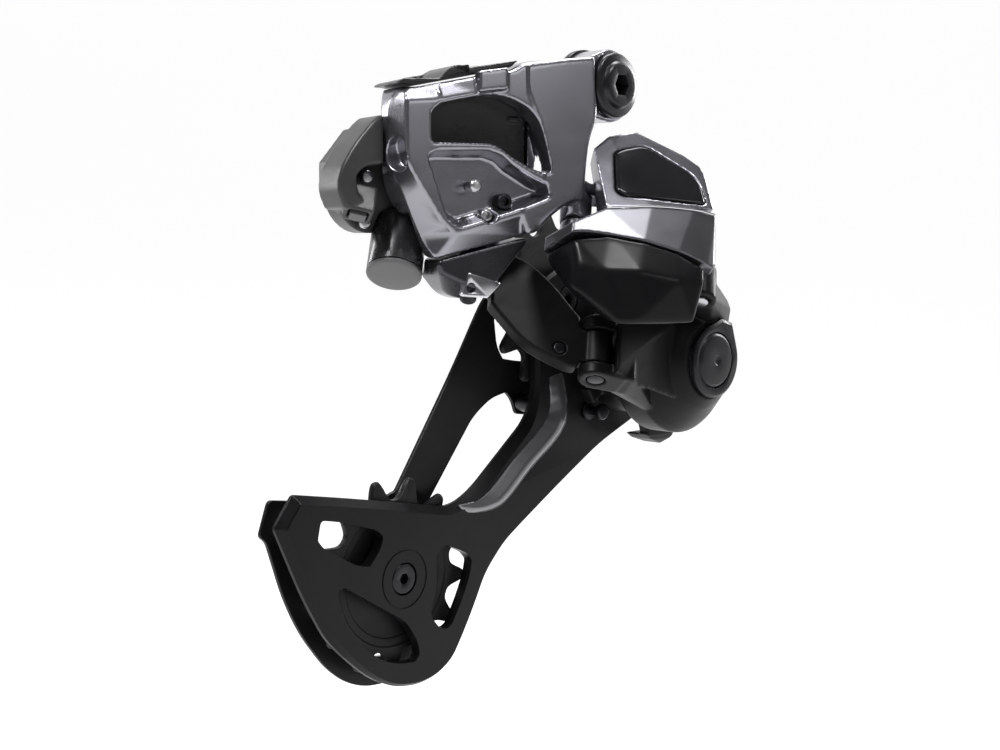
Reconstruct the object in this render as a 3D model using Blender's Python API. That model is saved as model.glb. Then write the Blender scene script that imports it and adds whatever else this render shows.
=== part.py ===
# Electronic rear derailleur for a bicycle, modelled as an assembly of separate parts.
#
# Frame: metres, +X forward along the bicycle, -Y outboard (drive side), +Z up.
# The origin is on the axis of the mounting bolt, at the face that seats on the
# frame hanger.  Dimensions below are in millimetres and are scaled when a mesh
# is written.
import bpy
import bmesh
from math import sin, cos, pi, radians, atan2, hypot
from mathutils import Vector, Matrix

for old in list(bpy.data.objects):
    bpy.data.objects.remove(old, do_unlink=True)

MM = 0.001
GAP = 0.3                      # clearance between neighbouring parts

# ---------------------------------------------------------------- driving dimensions
# mounting bolt (M10 x 1, 6 mm hexagon socket)
BOLT_THREAD_R = 5.0
BOLT_JOURNAL_R = 6.0
BOLT_FLANGE_R = 9.7
BOLT_HEAD_R = 6.9
BOLT_HEAD_Y = -16.6
BOLT_END_Y = 10.0
HEX_6 = 6.0
BOSS_R = 11.0                  # knuckle boss around the bolt
BOSS_Y0, BOSS_Y1 = -12.6, -2.3
STOP_PLATE_R = 11.6

# parallelogram (coordinates in the link frame, see K below)
LINK_LENGTH = 41.0
B_OUTER = (7.4, 3.0)
B_INNER = (-20.6, 14.8)
P_OUTER = (B_OUTER[0] + LINK_LENGTH, B_OUTER[1])
P_INNER = (B_INNER[0] + LINK_LENGTH, B_INNER[1])
PIN_R = 2.5
PIN_BORE_R = PIN_R + GAP
OPEN_BORE_R = 3.1              # pivot left free to close the linkage
EYE_R = 4.6
EYE_CLEAR_R = 5.3

# cage pivot and pulleys (x, z)
CAGE_AXIS = (27.5, -84.3)
GUIDE_AXIS = (3.4, -66.1)
TENSION_AXIS = (-67.7, -144.7)
TEETH = 13
CHAIN_PITCH = 12.7
PITCH_R = CHAIN_PITCH / (2 * sin(pi / TEETH))      # 26.53
TIP_R = 29.3
ROOT_R = 22.6
PULLEY_Y0, PULLEY_Y1 = 12.4, 14.6
OUTER_PLATE_Y0, OUTER_PLATE_Y1 = 8.0, 11.4
INNER_PLATE_Y0, INNER_PLATE_Y1 = 18.4, 20.2
GUIDE_PHASE = 211.0
TENSION_PHASE = 75.2

DRUM_R = 24.0                  # clutch and spring housing
NECK_R = 19.0

# ---------------------------------------------------------------- frames
# Knuckle face frame: s runs rearward along the face, z is up, t is depth inboard.
FACE_O = Vector((-12.0, -14.0, 0.0))
FACE_S = Vector((-0.957, 0.290, 0.0)).normalized()
FACE_T = Vector((0.290, 0.957, 0.0)).normalized()
# Link frame: x along the links, y inboard, z along the four parallel pivots.
LINK_O = Vector((-22.3, -9.3, -41.9))
LINK_Z = Vector((0.460, 0.340, 0.820)).normalized()
LINK_X = Vector((0.8078, -0.5443, -0.2274))
LINK_X = (LINK_X - LINK_Z * LINK_X.dot(LINK_Z)).normalized()
LINK_Y = LINK_Z.cross(LINK_X)
Y_AXIS = Vector((0.0, 1.0, 0.0))


def F(s, z, t):
    return FACE_O + FACE_S * s + Vector((0, 0, z)) + FACE_T * t


def K(x, y, z):
    return LINK_O + LINK_X * x + LINK_Y * y + LINK_Z * z


def W(x, y, z):
    return Vector((x, y, z))


# ---------------------------------------------------------------- materials
def material(name, rgb, rough, metal, coat=0.0):
    m = bpy.data.materials.new(name)
    m.use_nodes = True
    b = m.node_tree.nodes["Principled BSDF"]
    b.inputs["Base Color"].default_value = (rgb[0], rgb[1], rgb[2], 1.0)
    b.inputs["Roughness"].default_value = rough
    b.inputs["Metallic"].default_value = metal
    b.inputs["Coat Weight"].default_value = coat
    m.diffuse_color = (rgb[0], rgb[1], rgb[2], 1.0)
    return m


FINISH = {
    "polished_grey": ((0.36, 0.35, 0.39), 0.26, 0.95),
    "dark_grey_metal": ((0.13, 0.13, 0.15), 0.34, 0.8),
    "satin_black": ((0.030, 0.030, 0.033), 0.42, 0.3),
    "matte_black": ((0.022, 0.022, 0.024), 0.6, 0.0),
    "gloss_black": ((0.012, 0.012, 0.014), 0.12, 0.0),
    "steel": ((0.55, 0.55, 0.56), 0.3, 1.0),
    "black_steel": ((0.05, 0.05, 0.055), 0.35, 0.8),
    "cap_grey": ((0.42, 0.42, 0.43), 0.4, 0.6),
    "board_green": ((0.03, 0.16, 0.08), 0.5, 0.0),
    "bronze": ((0.45, 0.30, 0.12), 0.4, 0.9),
}

# ---------------------------------------------------------------- mesh helpers
ORIGINS = {}


def joint_empty(name, at, parent=None):
    e = bpy.data.objects.new(name, None)
    e.empty_display_size = 0.01
    bpy.context.scene.collection.objects.link(e)
    ORIGINS[name] = at.copy()
    if parent is not None:
        e.parent = parent
        e.location = (at - ORIGINS[parent.name]) * MM
    else:
        e.location = at * MM
    return e


def mesh_of(name, verts, faces):
    me = bpy.data.meshes.new(name)
    bm = bmesh.new()
    vs = [bm.verts.new(v) for v in verts]
    for f in faces:
        bm.faces.new([vs[i] for i in f])
    bmesh.ops.recalc_face_normals(bm, faces=bm.faces[:])
    bm.to_mesh(me)
    bm.free()
    return me


def loft(loops):
    """Closed solid through loops of the same number of points."""
    n = len(loops[0])
    verts = [p for lp in loops for p in lp]
    faces = [list(range(n))[::-1]]
    for k in range(len(loops) - 1):
        a, b = k * n, (k + 1) * n
        for i in range(n):
            j = (i + 1) % n
            faces.append([a + i, a + j, b + j, b + i])
    faces.append(list(range((len(loops) - 1) * n, len(loops) * n)))
    return verts, faces


def ring_loft(loops):
    """Closed ring: the last loop joins the first."""
    n = len(loops[0])
    m = len(loops)
    verts = [p for lp in loops for p in lp]
    faces = []
    for k in range(m):
        a, b = k * n, ((k + 1) % m) * n
        for i in range(n):
            j = (i + 1) % n
            faces.append([a + i, a + j, b + j, b + i])
    return verts, faces


def hull(points):
    bm = bmesh.new()
    for p in points:
        bm.verts.new(p)
    bmesh.ops.remove_doubles(bm, verts=bm.verts[:], dist=0.001)
    out = bmesh.ops.convex_hull(bm, input=bm.verts[:])
    junk = [g for g in out["geom_interior"] + out["geom_unused"] if isinstance(g, bmesh.types.BMVert)]
    bmesh.ops.delete(bm, geom=list(set(junk)), context="VERTS")
    bm.verts.ensure_lookup_table()
    verts = [v.co.copy() for v in bm.verts]
    faces = [[v.index for v in f.verts] for f in bm.faces]
    bm.free()
    return verts, faces


def basis(axis):
    a = axis.normalized()
    h = Vector((0, 0, 1)) if abs(a.z) < 0.9 else Vector((1, 0, 0))
    u = h.cross(a).normalized()
    return a, u, a.cross(u)


def disc(c, axis, r, n=20, phase=0.0):
    a, u, v = basis(axis)
    return [c + u * (r * cos(2 * pi * i / n + phase)) + v * (r * sin(2 * pi * i / n + phase)) for i in range(n)]


def cyl(c0, c1, r, n=20, r1=None):
    ax = c1 - c0
    return loft([disc(c0, ax, r, n), disc(c1, ax, r if r1 is None else r1, n)])


def lathe(profile, c, axis, n=24):
    """Solid of revolution; profile is (radius, height) from pole to pole."""
    a, u, v = basis(axis)
    verts, faces, rings = [], [], []
    for r, h in profile:
        if r < 1e-6:
            rings.append([len(verts)])
            verts.append(c + a * h)
        else:
            start = len(verts)
            for i in range(n):
                w = 2 * pi * i / n
                verts.append(c + a * h + u * (r * cos(w)) + v * (r * sin(w)))
            rings.append(list(range(start, start + n)))
    pairs = list(zip(rings, rings[1:]))
    if len(rings[0]) > 1 and len(rings[-1]) > 1:
        pairs.append((rings[-1], rings[0]))
    for p, q in pairs:
        for i in range(n):
            j = (i + 1) % n
            if len(p) == 1:
                faces.append([p[0], q[j], q[i]])
            elif len(q) == 1:
                faces.append([p[i], p[j], q[0]])
            else:
                faces.append([p[i], p[j], q[j], q[i]])
    return verts, faces


def face_prism(outline, t0, t1):
    return loft([[F(s, z, t0) for s, z in outline], [F(s, z, t1) for s, z in outline]])


def link_prism(outline, y0, y1):
    return loft([[K(x, y0, z) for x, z in outline], [K(x, y1, z) for x, z in outline]])


def side_prism(outline, y0, y1):
    return loft([[W(x, y0, z) for x, z in outline], [W(x, y1, z) for x, z in outline]])


def link_cyl(xy, z0, z1, r, n=20):
    return cyl(K(xy[0], xy[1], z0), K(xy[0], xy[1], z1), r, n)


def side_cyl(xz, y0, y1, r, n=20):
    return cyl(W(xz[0], y0, xz[1]), W(xz[0], y1, xz[1]), r, n)


def inset(points, dist):
    """Move each corner of a polygon inward by its own distance."""
    n = len(points)
    area = sum(points[i][0] * points[(i + 1) % n][1] - points[(i + 1) % n][0] * points[i][1] for i in range(n))
    sign = 1.0 if area > 0 else -1.0
    out = []
    for i in range(n):
        (x0, z0), (x1, z1), (x2, z2) = points[i - 1], points[i], points[(i + 1) % n]
        ax, az = x1 - x0, z1 - z0
        bx, bz = x2 - x1, z2 - z1
        la, lb = hypot(ax, az), hypot(bx, bz)
        nx = -az / la - bz / lb
        nz = ax / la + bx / lb
        ln = hypot(nx, nz)
        nx, nz = nx / ln * sign, nz / ln * sign
        d = dist[i] if isinstance(dist, (list, tuple)) else dist
        out.append((x1 + nx * d, z1 + nz * d))
    return out


PARTS = {}


def part(name, shape, finish, parent, adds=(), cuts=(), smooth=None):
    """One named object with its origin on its joint; adds and cuts are exact Booleans."""
    at = ORIGINS[parent.name]

    def make(nm, shp):
        verts, faces = shp
        me = mesh_of(nm, [(v - at) * MM for v in verts], faces)
        ob = bpy.data.objects.new(nm, me)
        bpy.context.scene.collection.objects.link(ob)
        ob.parent = parent
        return ob

    ob = make(name, shape)
    key = "mat_" + name
    rgb, rough, metal = FINISH[finish]
    ob.data.materials.append(material(key, rgb, rough, metal))
    for kind, group in (("UNION", adds), ("DIFFERENCE", cuts)):
        for i, shp in enumerate(group):
            tool = make("%s_%s_%d" % (name, "add" if kind == "UNION" else "cut", i + 1), shp)
            tool.hide_render = True
            tool.hide_viewport = False
            tool.display_type = "WIRE"
            mod = ob.modifiers.new("%s %d" % (kind.lower(), i + 1), "BOOLEAN")
            mod.operation = kind
            mod.solver = "EXACT"
            mod.object = tool
    if smooth:
        for p in ob.data.polygons:
            p.use_smooth = True
        ob.data.set_sharp_from_angle(angle=radians(smooth))
    PARTS[name] = ob
    return ob


def hex_cut(c0, c1, across):
    return cyl(c0, c1, across / 2 / cos(pi / 6), 6)


# ---------------------------------------------------------------- joints
ROOT = joint_empty("hanger_mount", W(0, 0, 0))
BKN = joint_empty("b_pivot", W(0, 0, 0), ROOT)
COVER_HINGE = F(41.0, 1.5, 21.2)
COVER_AXIS = (F(52.0, -0.8, 0) - F(30.0, 3.7, 0)).normalized()
COV = joint_empty("battery_cover_hinge", COVER_HINGE, BKN)
BUTTON_AT = F(70.6, -39.6, 11.5)
BTN = joint_empty("button_slide", BUTTON_AT, BKN)
OUT = joint_empty("outer_link_pivot", K(B_OUTER[0], B_OUTER[1], 8.0), BKN)
INN = joint_empty("inner_link_pivot", K(B_INNER[0], B_INNER[1], -12.0), BKN)
PKN = joint_empty("p_knuckle_pivot", K(P_OUTER[0], P_OUTER[1], 0.0), OUT)
CAG = joint_empty("cage_pivot", W(CAGE_AXIS[0], 0, CAGE_AXIS[1]), PKN)
GPU = joint_empty("guide_pulley_spin", W(GUIDE_AXIS[0], 13.5, GUIDE_AXIS[1]), CAG)
TPU = joint_empty("tension_pulley_spin", W(TENSION_AXIS[0], 13.5, TENSION_AXIS[1]), CAG)

# ---------------------------------------------------------------- hanger mount
part("mount_bolt",
     lathe([(0, BOLT_HEAD_Y), (6.2, BOLT_HEAD_Y), (BOLT_HEAD_R, -16.0), (7.2, -15.2), (9.2, -14.9),
            (BOLT_FLANGE_R, -14.4), (BOLT_FLANGE_R, -12.9), (BOLT_JOURNAL_R, -12.9), (BOLT_JOURNAL_R, -2.3),
            (BOLT_THREAD_R, -2.3), (BOLT_THREAD_R, 9.2), (4.3, BOLT_END_Y), (0, BOLT_END_Y)],
           W(0, 0, 0), Y_AXIS, 24),
     "black_steel", ROOT, cuts=[hex_cut(W(0, -18, 0), W(0, -11.2, 0), HEX_6)], smooth=35)

part("stop_plate",
     lathe([(5.3, -2.0), (STOP_PLATE_R, -2.0), (STOP_PLATE_R, 0.0), (5.3, 0.0)], W(0, 0, 0), Y_AXIS, 32),
     "black_steel", ROOT,
     adds=[side_prism([(-6.5, -6.0), (-15.0, -7.5), (-17.0, -10.0), (-17.0, -14.0), (-12.0, -14.5), (-3.0, -9.8)], -1.9, -0.1)],
     smooth=35)

# ---------------------------------------------------------------- B knuckle
# (s, z) on the front face and (s, z, t) on the shoulder line behind it
BODY_FRONT = [(14.0, 5.6), (22.3, 4.5), (25.8, 2.2), (57.0, -4.2), (60.3, -4.5), (60.6, -9.0), (60.4, -24.5),
              (57.6, -29.0), (49.4, -41.4), (45.6, -44.4), (44.8, -44.9), (20.0, -38.6), (14.0, -36.6)]
BODY_SHOULDER = [(14.0, 6.2, 2), (22.0, 5.2, 2), (25.5, 2.8, 2), (56.2, -3.5, 3), (59.8, -3.1, 8), (62.2, -8.0, 9),
                 (62.2, -25.4, 9), (58.8, -30.6, 9), (55.2, -37.7, 9), (51.8, -47.3, 8), (49.6, -52.0, 4),
                 (18.0, -44.6, 3.5), (14.0, -40.6, 3)]
ARM = [(-2.0, 7.9), (10.0, 6.6), (22.0, 4.4), (22.0, -4.0), (17.0, -13.0), (16.0, -26.0), (16.5, -31.0), (24.0, -38.0),
       (21.5, -45.2), (17.6, -44.3), (13.4, -39.9), (7.1, -35.8), (1.5, -34.9), (0.8, -24.3), (-0.2, -16.9), (-3.0, -10.3)]
WINDOW = [(52.5, -18.9), (52.5, -10.4), (50.0, -8.0), (37.0, -5.3), (31.5, -4.9), (27.0, -5.6), (20.6, -8.2),
          (17.2, -12.2), (15.5, -17.3), (12.9, -27.2), (18.9, -26.1), (27.3, -22.0), (30.7, -19.5), (34.0, -18.7)]
POCKET = [(54.0, -22.4), (50.0, -21.0), (34.0, -20.6), (29.5, -21.9), (26.0, -24.7), (19.0, -28.4), (14.8, -30.2),
          (13.8, -34.0), (24.0, -37.6), (43.2, -42.8), (47.6, -40.2)]
CAVITY = [(16.6, -38.0), (53.0, -38.0), (54.5, -32.0), (54.5, -7.0), (52.0, -4.6), (52.0, 12.0), (16.6, 12.0)]

body_loops = [[F(s, z, 0.0) for s, z in BODY_FRONT],
              [F(s, z, t) for s, z, t in BODY_SHOULDER],
              [F(s, z, 20.0) for s, z, t in BODY_SHOULDER]]
arm_front = inset(ARM, 0.8)
arm_loops = [[F(s, z, -0.4) for s, z in arm_front], [F(s, z, 0.5) for s, z in ARM], [F(s, z, 6.1) for s, z in ARM]]
boss_hull = hull(disc(W(0, BOSS_Y0, 0), Y_AXIS, BOSS_R - 0.8, 28) + disc(W(0, BOSS_Y0 + 0.8, 0), Y_AXIS, BOSS_R, 28)
                 + disc(W(0, BOSS_Y1, 0), Y_AXIS, BOSS_R, 28)
                 + [F(1.5, 7.2, 0.3), F(1.5, -9.5, 0.3), F(1.5, 7.4, 5.6), F(1.5, -9.5, 5.6)])
outer_boss = hull(disc(K(B_OUTER[0], B_OUTER[1], 4.0), LINK_Z, 4.8) + disc(K(B_OUTER[0], B_OUTER[1], 13.0), LINK_Z, 4.8)
                  + [F(6.5, -35.5, 0.8), F(6.5, -28, 0.8), F(6.5, -35.5, 5.7), F(6.5, -28, 5.7)])
screw_ear = hull([F(s, z, t) for s in (13.6, 17.5) for z in (-15.5, -8.5) for t in (5.0, 12.5)])
inner_top = hull(disc(K(B_INNER[0], B_INNER[1], -4.4), LINK_Z, 6.3, 18) + disc(K(B_INNER[0], B_INNER[1], 4.1), LINK_Z, 6.3, 18)
                 + [F(34, -42, 8), F(24, -40, 8), F(34, -40, 16), F(24, -40, 16)])

CAN_BOTTOM = F(56.7, -55.9, 17.0)
CAN_R = 8.2


def can(h0, h1, r, n=28):
    return cyl(CAN_BOTTOM + LINK_Z * h0, CAN_BOTTOM + LINK_Z * h1, r, n)


pocket_cut = loft([[F(s, z, -1.2) for s, z in inset(POCKET, -0.4)], [F(s, z, 5.6) for s, z in inset(POCKET, 1.9)]])
rear_bore = cyl(F(58.0, -21.6, 5.6), F(72.0, -25.3, 5.2), 4.9, 22)
rear_bevel = hull([F(66.5, z, 6.5) for z in (-60, 12)] + [F(57.0, z, 22.0) for z in (-60, 12)] + [F(80, z, 22.0) for z in (-60, 12)]
                  + [F(80, z, 6.5) for z in (-60, 12)])
lower_rear = hull([F(s, z, t) for s in (43.0, 70.0) for z in (-60.0, -38.8) for t in (11.0, 24.0)])

part("b_knuckle_body", loft(body_loops), "polished_grey", BKN,
     adds=[loft(arm_loops), boss_hull, outer_boss, inner_top, screw_ear],
     cuts=[face_prism(WINDOW, -3, 8.3),
           face_prism(CAVITY, 7.8, 26),
           pocket_cut,
           rear_bevel,
           lower_rear,
           rear_bore,
           cyl(W(0, -20, 0), W(0, 5, 0), BOLT_JOURNAL_R + GAP, 32),
           cyl(W(0, -30, 0), W(0, BOSS_Y0 + 0.12, 0), BOLT_FLANGE_R + 0.68, 30),
           can(-8, 18.5, CAN_R + 0.4),
           cyl(F(33.6, -39.4, 5.4), F(33.6, -39.4, -3), 2.25, 15), cyl(F(27.6, -35.4, 5.4), F(27.6, -35.4, -3), 2.75, 15),
           link_cyl(B_OUTER, -12, 24, PIN_BORE_R),
           link_cyl(B_OUTER, -10, 3.7, EYE_CLEAR_R),
           link_cyl(B_OUTER, 13.1, 18.2, EYE_CLEAR_R),
           link_cyl(B_INNER, -30, 14, PIN_BORE_R),
           link_cyl(B_INNER, -30, -4.7, EYE_CLEAR_R),
           cyl(F(16.3, -12.0, 8.6) - W(1.4, 0, 0), F(16.3, -12.0, 8.6) + W(20, 0, 0), 1.8, 14)],
     smooth=30)

TIP = [(49.2, -52.5), (48.6, -56.2), (43.6, -62.2), (39.2, -63.9), (34.6, -63.8), (30.0, -60.2), (28.0, -57.5),
       (22.3, -51.0), (17.8, -45.4)]
tip_front = inset(TIP, [0.2, 1.0, 1.2, 1.2, 1.2, 1.0, 0.6, 0.6, 0.2])
part("b_knuckle_tip",
     loft([[F(s, z, 3.2) for s, z in tip_front], [F(s, z, 4.4) for s, z in TIP], [F(s, z, 17.0) for s, z in TIP]]),
     "dark_grey_metal", BKN,
     cuts=[link_cyl(B_INNER, -20.2, 10, EYE_CLEAR_R), can(-8, 18, CAN_R + 0.4),
           link_cyl(B_INNER, -40, 12, PIN_BORE_R),
           hull([K(x, y, z) for x in (-20.6, 60) for y in (9.6, 70) for z in (-20.2, 30)]),
           hull([K(x, y, z) for x in (-13.4, 60) for y in (9.6, 70) for z in (-60, 30)]),
           hull([K(x, y, z) for x in (-70, 60) for y in (-60, 60) for z in (-60, -23.4)])],
     smooth=30)

BATTERY = [(17.2, -37.4), (52.3, -37.4), (53.8, -31.5), (53.8, -7.4), (51.3, -5.2), (51.3, -3.0), (27.0, 1.8), (17.2, 2.4)]
part("battery_pack", loft([[F(s, z, 8.2) for s, z in inset(BATTERY, 0.9)], [F(s, z, 9.1) for s, z in BATTERY],
                           [F(s, z, 17.2) for s, z in BATTERY]]), "satin_black", BKN,
     adds=[hull([F(s, z, t) for s in (20.2, 23.4) for z in (-11.9, -10.5) for t in (7.4, 9.0)])])
part("control_board", face_prism([(20, -35), (50, -35), (50, -8), (20, -8)], 17.6, 18.8), "board_green", BKN)
BACK = [(15.2, -35.6), (54.0, -35.6), (55.6, -31), (55.6, -8), (52.5, -5.0), (26.0, 0.4), (15.2, 0.6)]
part("back_cover", loft([[F(s, z, 20.3) for s, z in BACK], [F(s, z, 21.4) for s, z in BACK],
                         [F(s, z, 22.1) for s, z in inset(BACK, 0.7)]]), "satin_black", BKN)

# motor unit at the rear inboard corner
COVER_OUT = [(62.9, -10.4), (65.8, -12.4), (72.1, -19.5), (76.4, -26.7), (77.4, -32.2), (75.2, -37.6), (69.0, -38.8),
             (67.4, -36.6), (71.0, -33.6), (71.4, -28.4), (68.5, -25.6), (62.9, -25.0)]
H2 = [(45.0, -13.0), (66.0, -14.0), (74.0, -24.0), (74.0, -33.0), (70.0, -41.0), (65.0, -44.6), (47.0, -44.6), (45.0, -40.0)]
def button_box(hx, hy, h0, h1):
    return hull([BUTTON_AT + LINK_X * x + LINK_Y * y + LINK_Z * h for x in (-hx, hx) for y in (-hy, hy) for h in (h0, h1)])


part("motor_housing", loft([[F(s, z, 9.6) for s, z in inset(COVER_OUT, 0.7)], [F(s, z, 10.4) for s, z in COVER_OUT],
                            [F(s, z, 25.0) for s, z in COVER_OUT]]), "satin_black", BKN,
     adds=[face_prism(H2, 22.5, 32.0),
           hull(disc(CAN_BOTTOM + LINK_Z * 17.0, LINK_Z, 9.4, 24) + disc(CAN_BOTTOM + LINK_Z * 22.0, LINK_Z, 9.4, 24)),
           button_box(4.2, 3.4, 0.0, 9.0)],
     cuts=[hull([F(s, z, t) for s in (30, 62.7) for z in (-70, 20) for t in (-5, 22.4)]),
           can(-5, 17.2, CAN_R + GAP),
           button_box(2.9, 2.1, -2.0, 3.0)], smooth=30)
part("motor_can", can(0.0, 16.9, CAN_R), "satin_black", BKN, smooth=30)
part("motor_can_cap", lathe([(0, -1.6), (7.4, -1.6), (CAN_R, -1.1), (CAN_R, -0.3), (0, -0.3)], CAN_BOTTOM, LINK_Z, 28),
     "cap_grey", BKN, smooth=30)
GEARBOX = [(20.0, -36.5), (43.6, -36.5), (43.6, -46.0), (36.0, -50.0), (22.0, -50.0), (18.0, -44.0)]
part("drive_gearbox", loft([[F(s, z, 22.5) for s, z in GEARBOX], [F(s, z, 29.5) for s, z in GEARBOX],
                            [F(s, z, 31.0) for s, z in inset(GEARBOX, 1.5)]]), "dark_grey_metal", BKN,
     cuts=[link_cyl(B_INNER, -10, 40, PIN_BORE_R), link_cyl(B_INNER, -30, 4.9, 6.8), can(-5, 30, 9.9)])

part("b_tension_screw", cyl(F(16.3, -12.0, 8.6) + W(0, 0, 0), W(-17.4, F(16.3, -12.0, 8.6).y, -12.0), 1.5, 14), "steel", BKN)


def pocket_screw(s, z, r, socket):
    c = F(s, z, 5.1)
    top = c - FACE_T * 3.0
    return (lathe([(0, 0), (r, 0), (r, 2.5), (r - 0.4, 3.0), (socket, 3.0), (socket, 1.4), (0, 1.4)], c, -FACE_T, 16))


# screws standing on the pocket floor, and the limit pin beside them
part("pocket_screw_bright", pocket_screw(33.6, -39.4, 1.9, 1.0), "steel", BKN, smooth=35)
part("pocket_screw_dark", pocket_screw(27.6, -35.4, 2.4, 1.2), "black_steel", BKN, smooth=35)
part("limit_pin", lathe([(0, 0), (1.4, 0), (1.4, 3.2), (1.9, 3.6), (1.9, 4.6), (1.2, 5.3), (0, 5.3)], F(38.2, -31.0, 5.3), -FACE_T, 16),
     "steel", BKN, smooth=35)
for tag, s, z in (("a", 64.5, -34.0), ("b", 64.2, -41.4), ("c", 63.4, -28.2)):
    part("motor_bolt_" + tag, lathe([(0, 0), (1.9, 0), (1.9, 1.8), (1.5, 2.2), (0, 2.2)], F(s, z, 22.2), -FACE_T, 14),
         "steel", BKN, smooth=35)
part("outer_link_pin_b", link_cyl(B_OUTER, -1.6, 18.4, PIN_R), "steel", BKN, smooth=35)
part("inner_link_pin_b", lathe([(0, -23.9), (2.0, -23.9), (PIN_R, -23.4), (PIN_R, 8.0), (0, 8.0)],
                               K(B_INNER[0], B_INNER[1], 0), LINK_Z, 20), "black_steel", BKN, smooth=35)

# ---------------------------------------------------------------- battery cover
COVER_SECTION = [(62.4, -2.6), (60.0, -1.2), (48.6, -0.8), (46.2, 1.8), (43.6, 3.3), (41.6, 3.4), (40.0, 2.6), (25.6, 5.2),
                 (23.2, 5.6), (23.2, 5.4), (25.7, 3.3), (56.3, -3.1), (59.9, -2.75)]
cover_knuckle = hull([F(s, z, t) for s, z in ((52.0, -1.4), (28.0, 3.6), (52.0, 0.6), (28.0, 5.4)) for t in (18.0, 21.6)])
part("battery_cover", loft([[F(s, z, 2.4) for s, z in COVER_SECTION], [F(s, z, 19.6) for s, z in COVER_SECTION]]),
     "satin_black", COV, adds=[cover_knuckle])

# ---------------------------------------------------------------- function button
part("function_button", button_box(2.6, 1.8, -0.8, 2.0), "cap_grey", BTN)

# ---------------------------------------------------------------- outer link
FRAME_FRONT = [(8.2, -9.0, 24.3), (12.8, -8.6, 30.6), (21.4, -8.0, 35.6), (24.6, -8.0, 34.8), (37.8, -8.0, 31.2),
               (42.8, -8.4, 28.2), (44.6, -8.8, 24.8), (46.4, -11.4, 11.0), (26.0, -12.2, 5.6), (12.2, -11.6, 1.8)]
frame_block = hull([K(*p) for p in FRAME_FRONT] + [K(x + (1.0 if x < 20 else -0.6), -2.2, z - 0.8) for x, y, z in FRAME_FRONT]
                   + [K(x, y + 1.2, z + 0.5) for x, y, z in FRAME_FRONT])
BAND_TOP = [(2.4, -11.0, -5.6), (11.8, -12.6, 0.8), (25.5, -13.4, 4.6), (39.0, -13.0, 7.4), (46.6, -11.6, 8.6)]
BAND_BOTTOM = [(2.2, -10.8, -10.4), (13.2, -12.6, -8.0), (23.5, -13.6, -8.0), (34.5, -13.2, -8.4), (44.0, -11.8, -9.7), (46.6, -10.6, -9.8)]
band_block = hull([K(*p) for p in BAND_TOP + BAND_BOTTOM] + [K(4.5, -4.5, -5.0), K(4.5, -4.5, -8.9), K(45.0, -2.2, -8.9), K(45.5, -2.2, 7.6),
                   K(47.6, -6.5, 6.5), K(47.4, -6.0, -9.0),
                   K(-1.5, 3.0, -3.4), K(-1.6, 3.0, -8.2), K(1.5, 5.0, -2.4), K(1.5, 5.0, -8.2), K(16.0, 4.6, -1.6)])
MAIN = [(14.2, -8.6), (14.2, 17.0), (16.5, 28.5), (22.0, 32.0), (39.0, 27.5), (42.5, 20.0), (42.5, -8.6)]
lug_p = hull(disc(K(P_OUTER[0], P_OUTER[1], -1.0), LINK_Z, 4.6) + disc(K(P_OUTER[0], P_OUTER[1], 15.5), LINK_Z, 4.6)
             + [K(41.0, -1.6, -1.0), K(41.0, 5.0, -1.0), K(41.0, -1.6, 15.5), K(41.0, 5.0, 15.5)])


def ear_b(z0, z1):
    return hull(disc(K(B_OUTER[0], B_OUTER[1], z0), LINK_Z, EYE_R) + disc(K(B_OUTER[0], B_OUTER[1], z1), LINK_Z, EYE_R)
                + [K(15.5, 0.2, z0), K(15.5, 4.8, z0), K(15.5, 0.2, z1), K(15.5, 4.8, z1)])


BADGE = [(14.6, 24.0), (17.0, 26.2), (23.0, 29.6), (25.8, 29.6), (39.6, 23.6), (42.4, 19.4), (43.8, 12.2), (33.0, 10.2), (17.6, 7.8), (15.2, 9.0)]


def badge_point(x, z, lift):
    # front face leans from y=-8 at the top to y=-12 at the trim line
    y = -8.0 - (35.0 - z) * 0.135
    return K(x, y - lift, z)


badge_hole = loft([[badge_point(x, z, 3.0) for x, z in inset(BADGE, -0.3)], [badge_point(x, z, -2.2) for x, z in inset(BADGE, -0.3)]])
SKID_TOP = [(3.0, -10.4, -10.9), (13.2, -12.6, -8.5), (23.5, -13.6, -8.5), (34.5, -13.2, -9.1), (43.6, -11.4, -10.9)]
SKID_BACK = [(-1.6, 3.0, -9.2), (2.0, 5.0, -9.2), (14.0, 4.6, -10.1), (40.0, 3.4, -10.1), (43.2, -4.4, -10.8)]
skid_room = hull([K((x - 23) * 1.2 + 23, y + dy, z + dz) for x, y, z in SKID_TOP for dy in (0, -4) for dz in (0.45, -16)]
                 + [K((x - 23) * 1.2 + 23, y, z + 0.45) for x, y, z in SKID_BACK])
part("outer_link_body", link_prism(MAIN, -2.6, 4.6), "polished_grey", OUT,
     adds=[frame_block, band_block, lug_p, ear_b(-0.4, 3.3), ear_b(13.5, 17.6)],
     cuts=[badge_hole, skid_room,
           link_cyl(B_OUTER, -12, 30, PIN_BORE_R),
           link_cyl(P_OUTER, -12, 30, 3.9),
           link_cyl(B_OUTER, 3.6, 13.2, 5.4),
           hull([K(x, y, z) for x in (36, 60) for y in (-2.0, 20) for z in (-20, -1.2)])],
     smooth=30)
part("badge_panel", loft([[badge_point(x, z, 0.5) for x, z in inset(BADGE, 0.6)], [badge_point(x, z, 0.0) for x, z in BADGE],
                          [badge_point(x, z, -1.8) for x, z in BADGE]]), "gloss_black", OUT)
part("outer_link_bush", lathe([(2.8, -1.0), (3.6, -1.0), (3.6, 15.5), (2.8, 15.5)], K(P_OUTER[0], P_OUTER[1], 0), LINK_Z, 20),
     "bronze", OUT, smooth=35)
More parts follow.
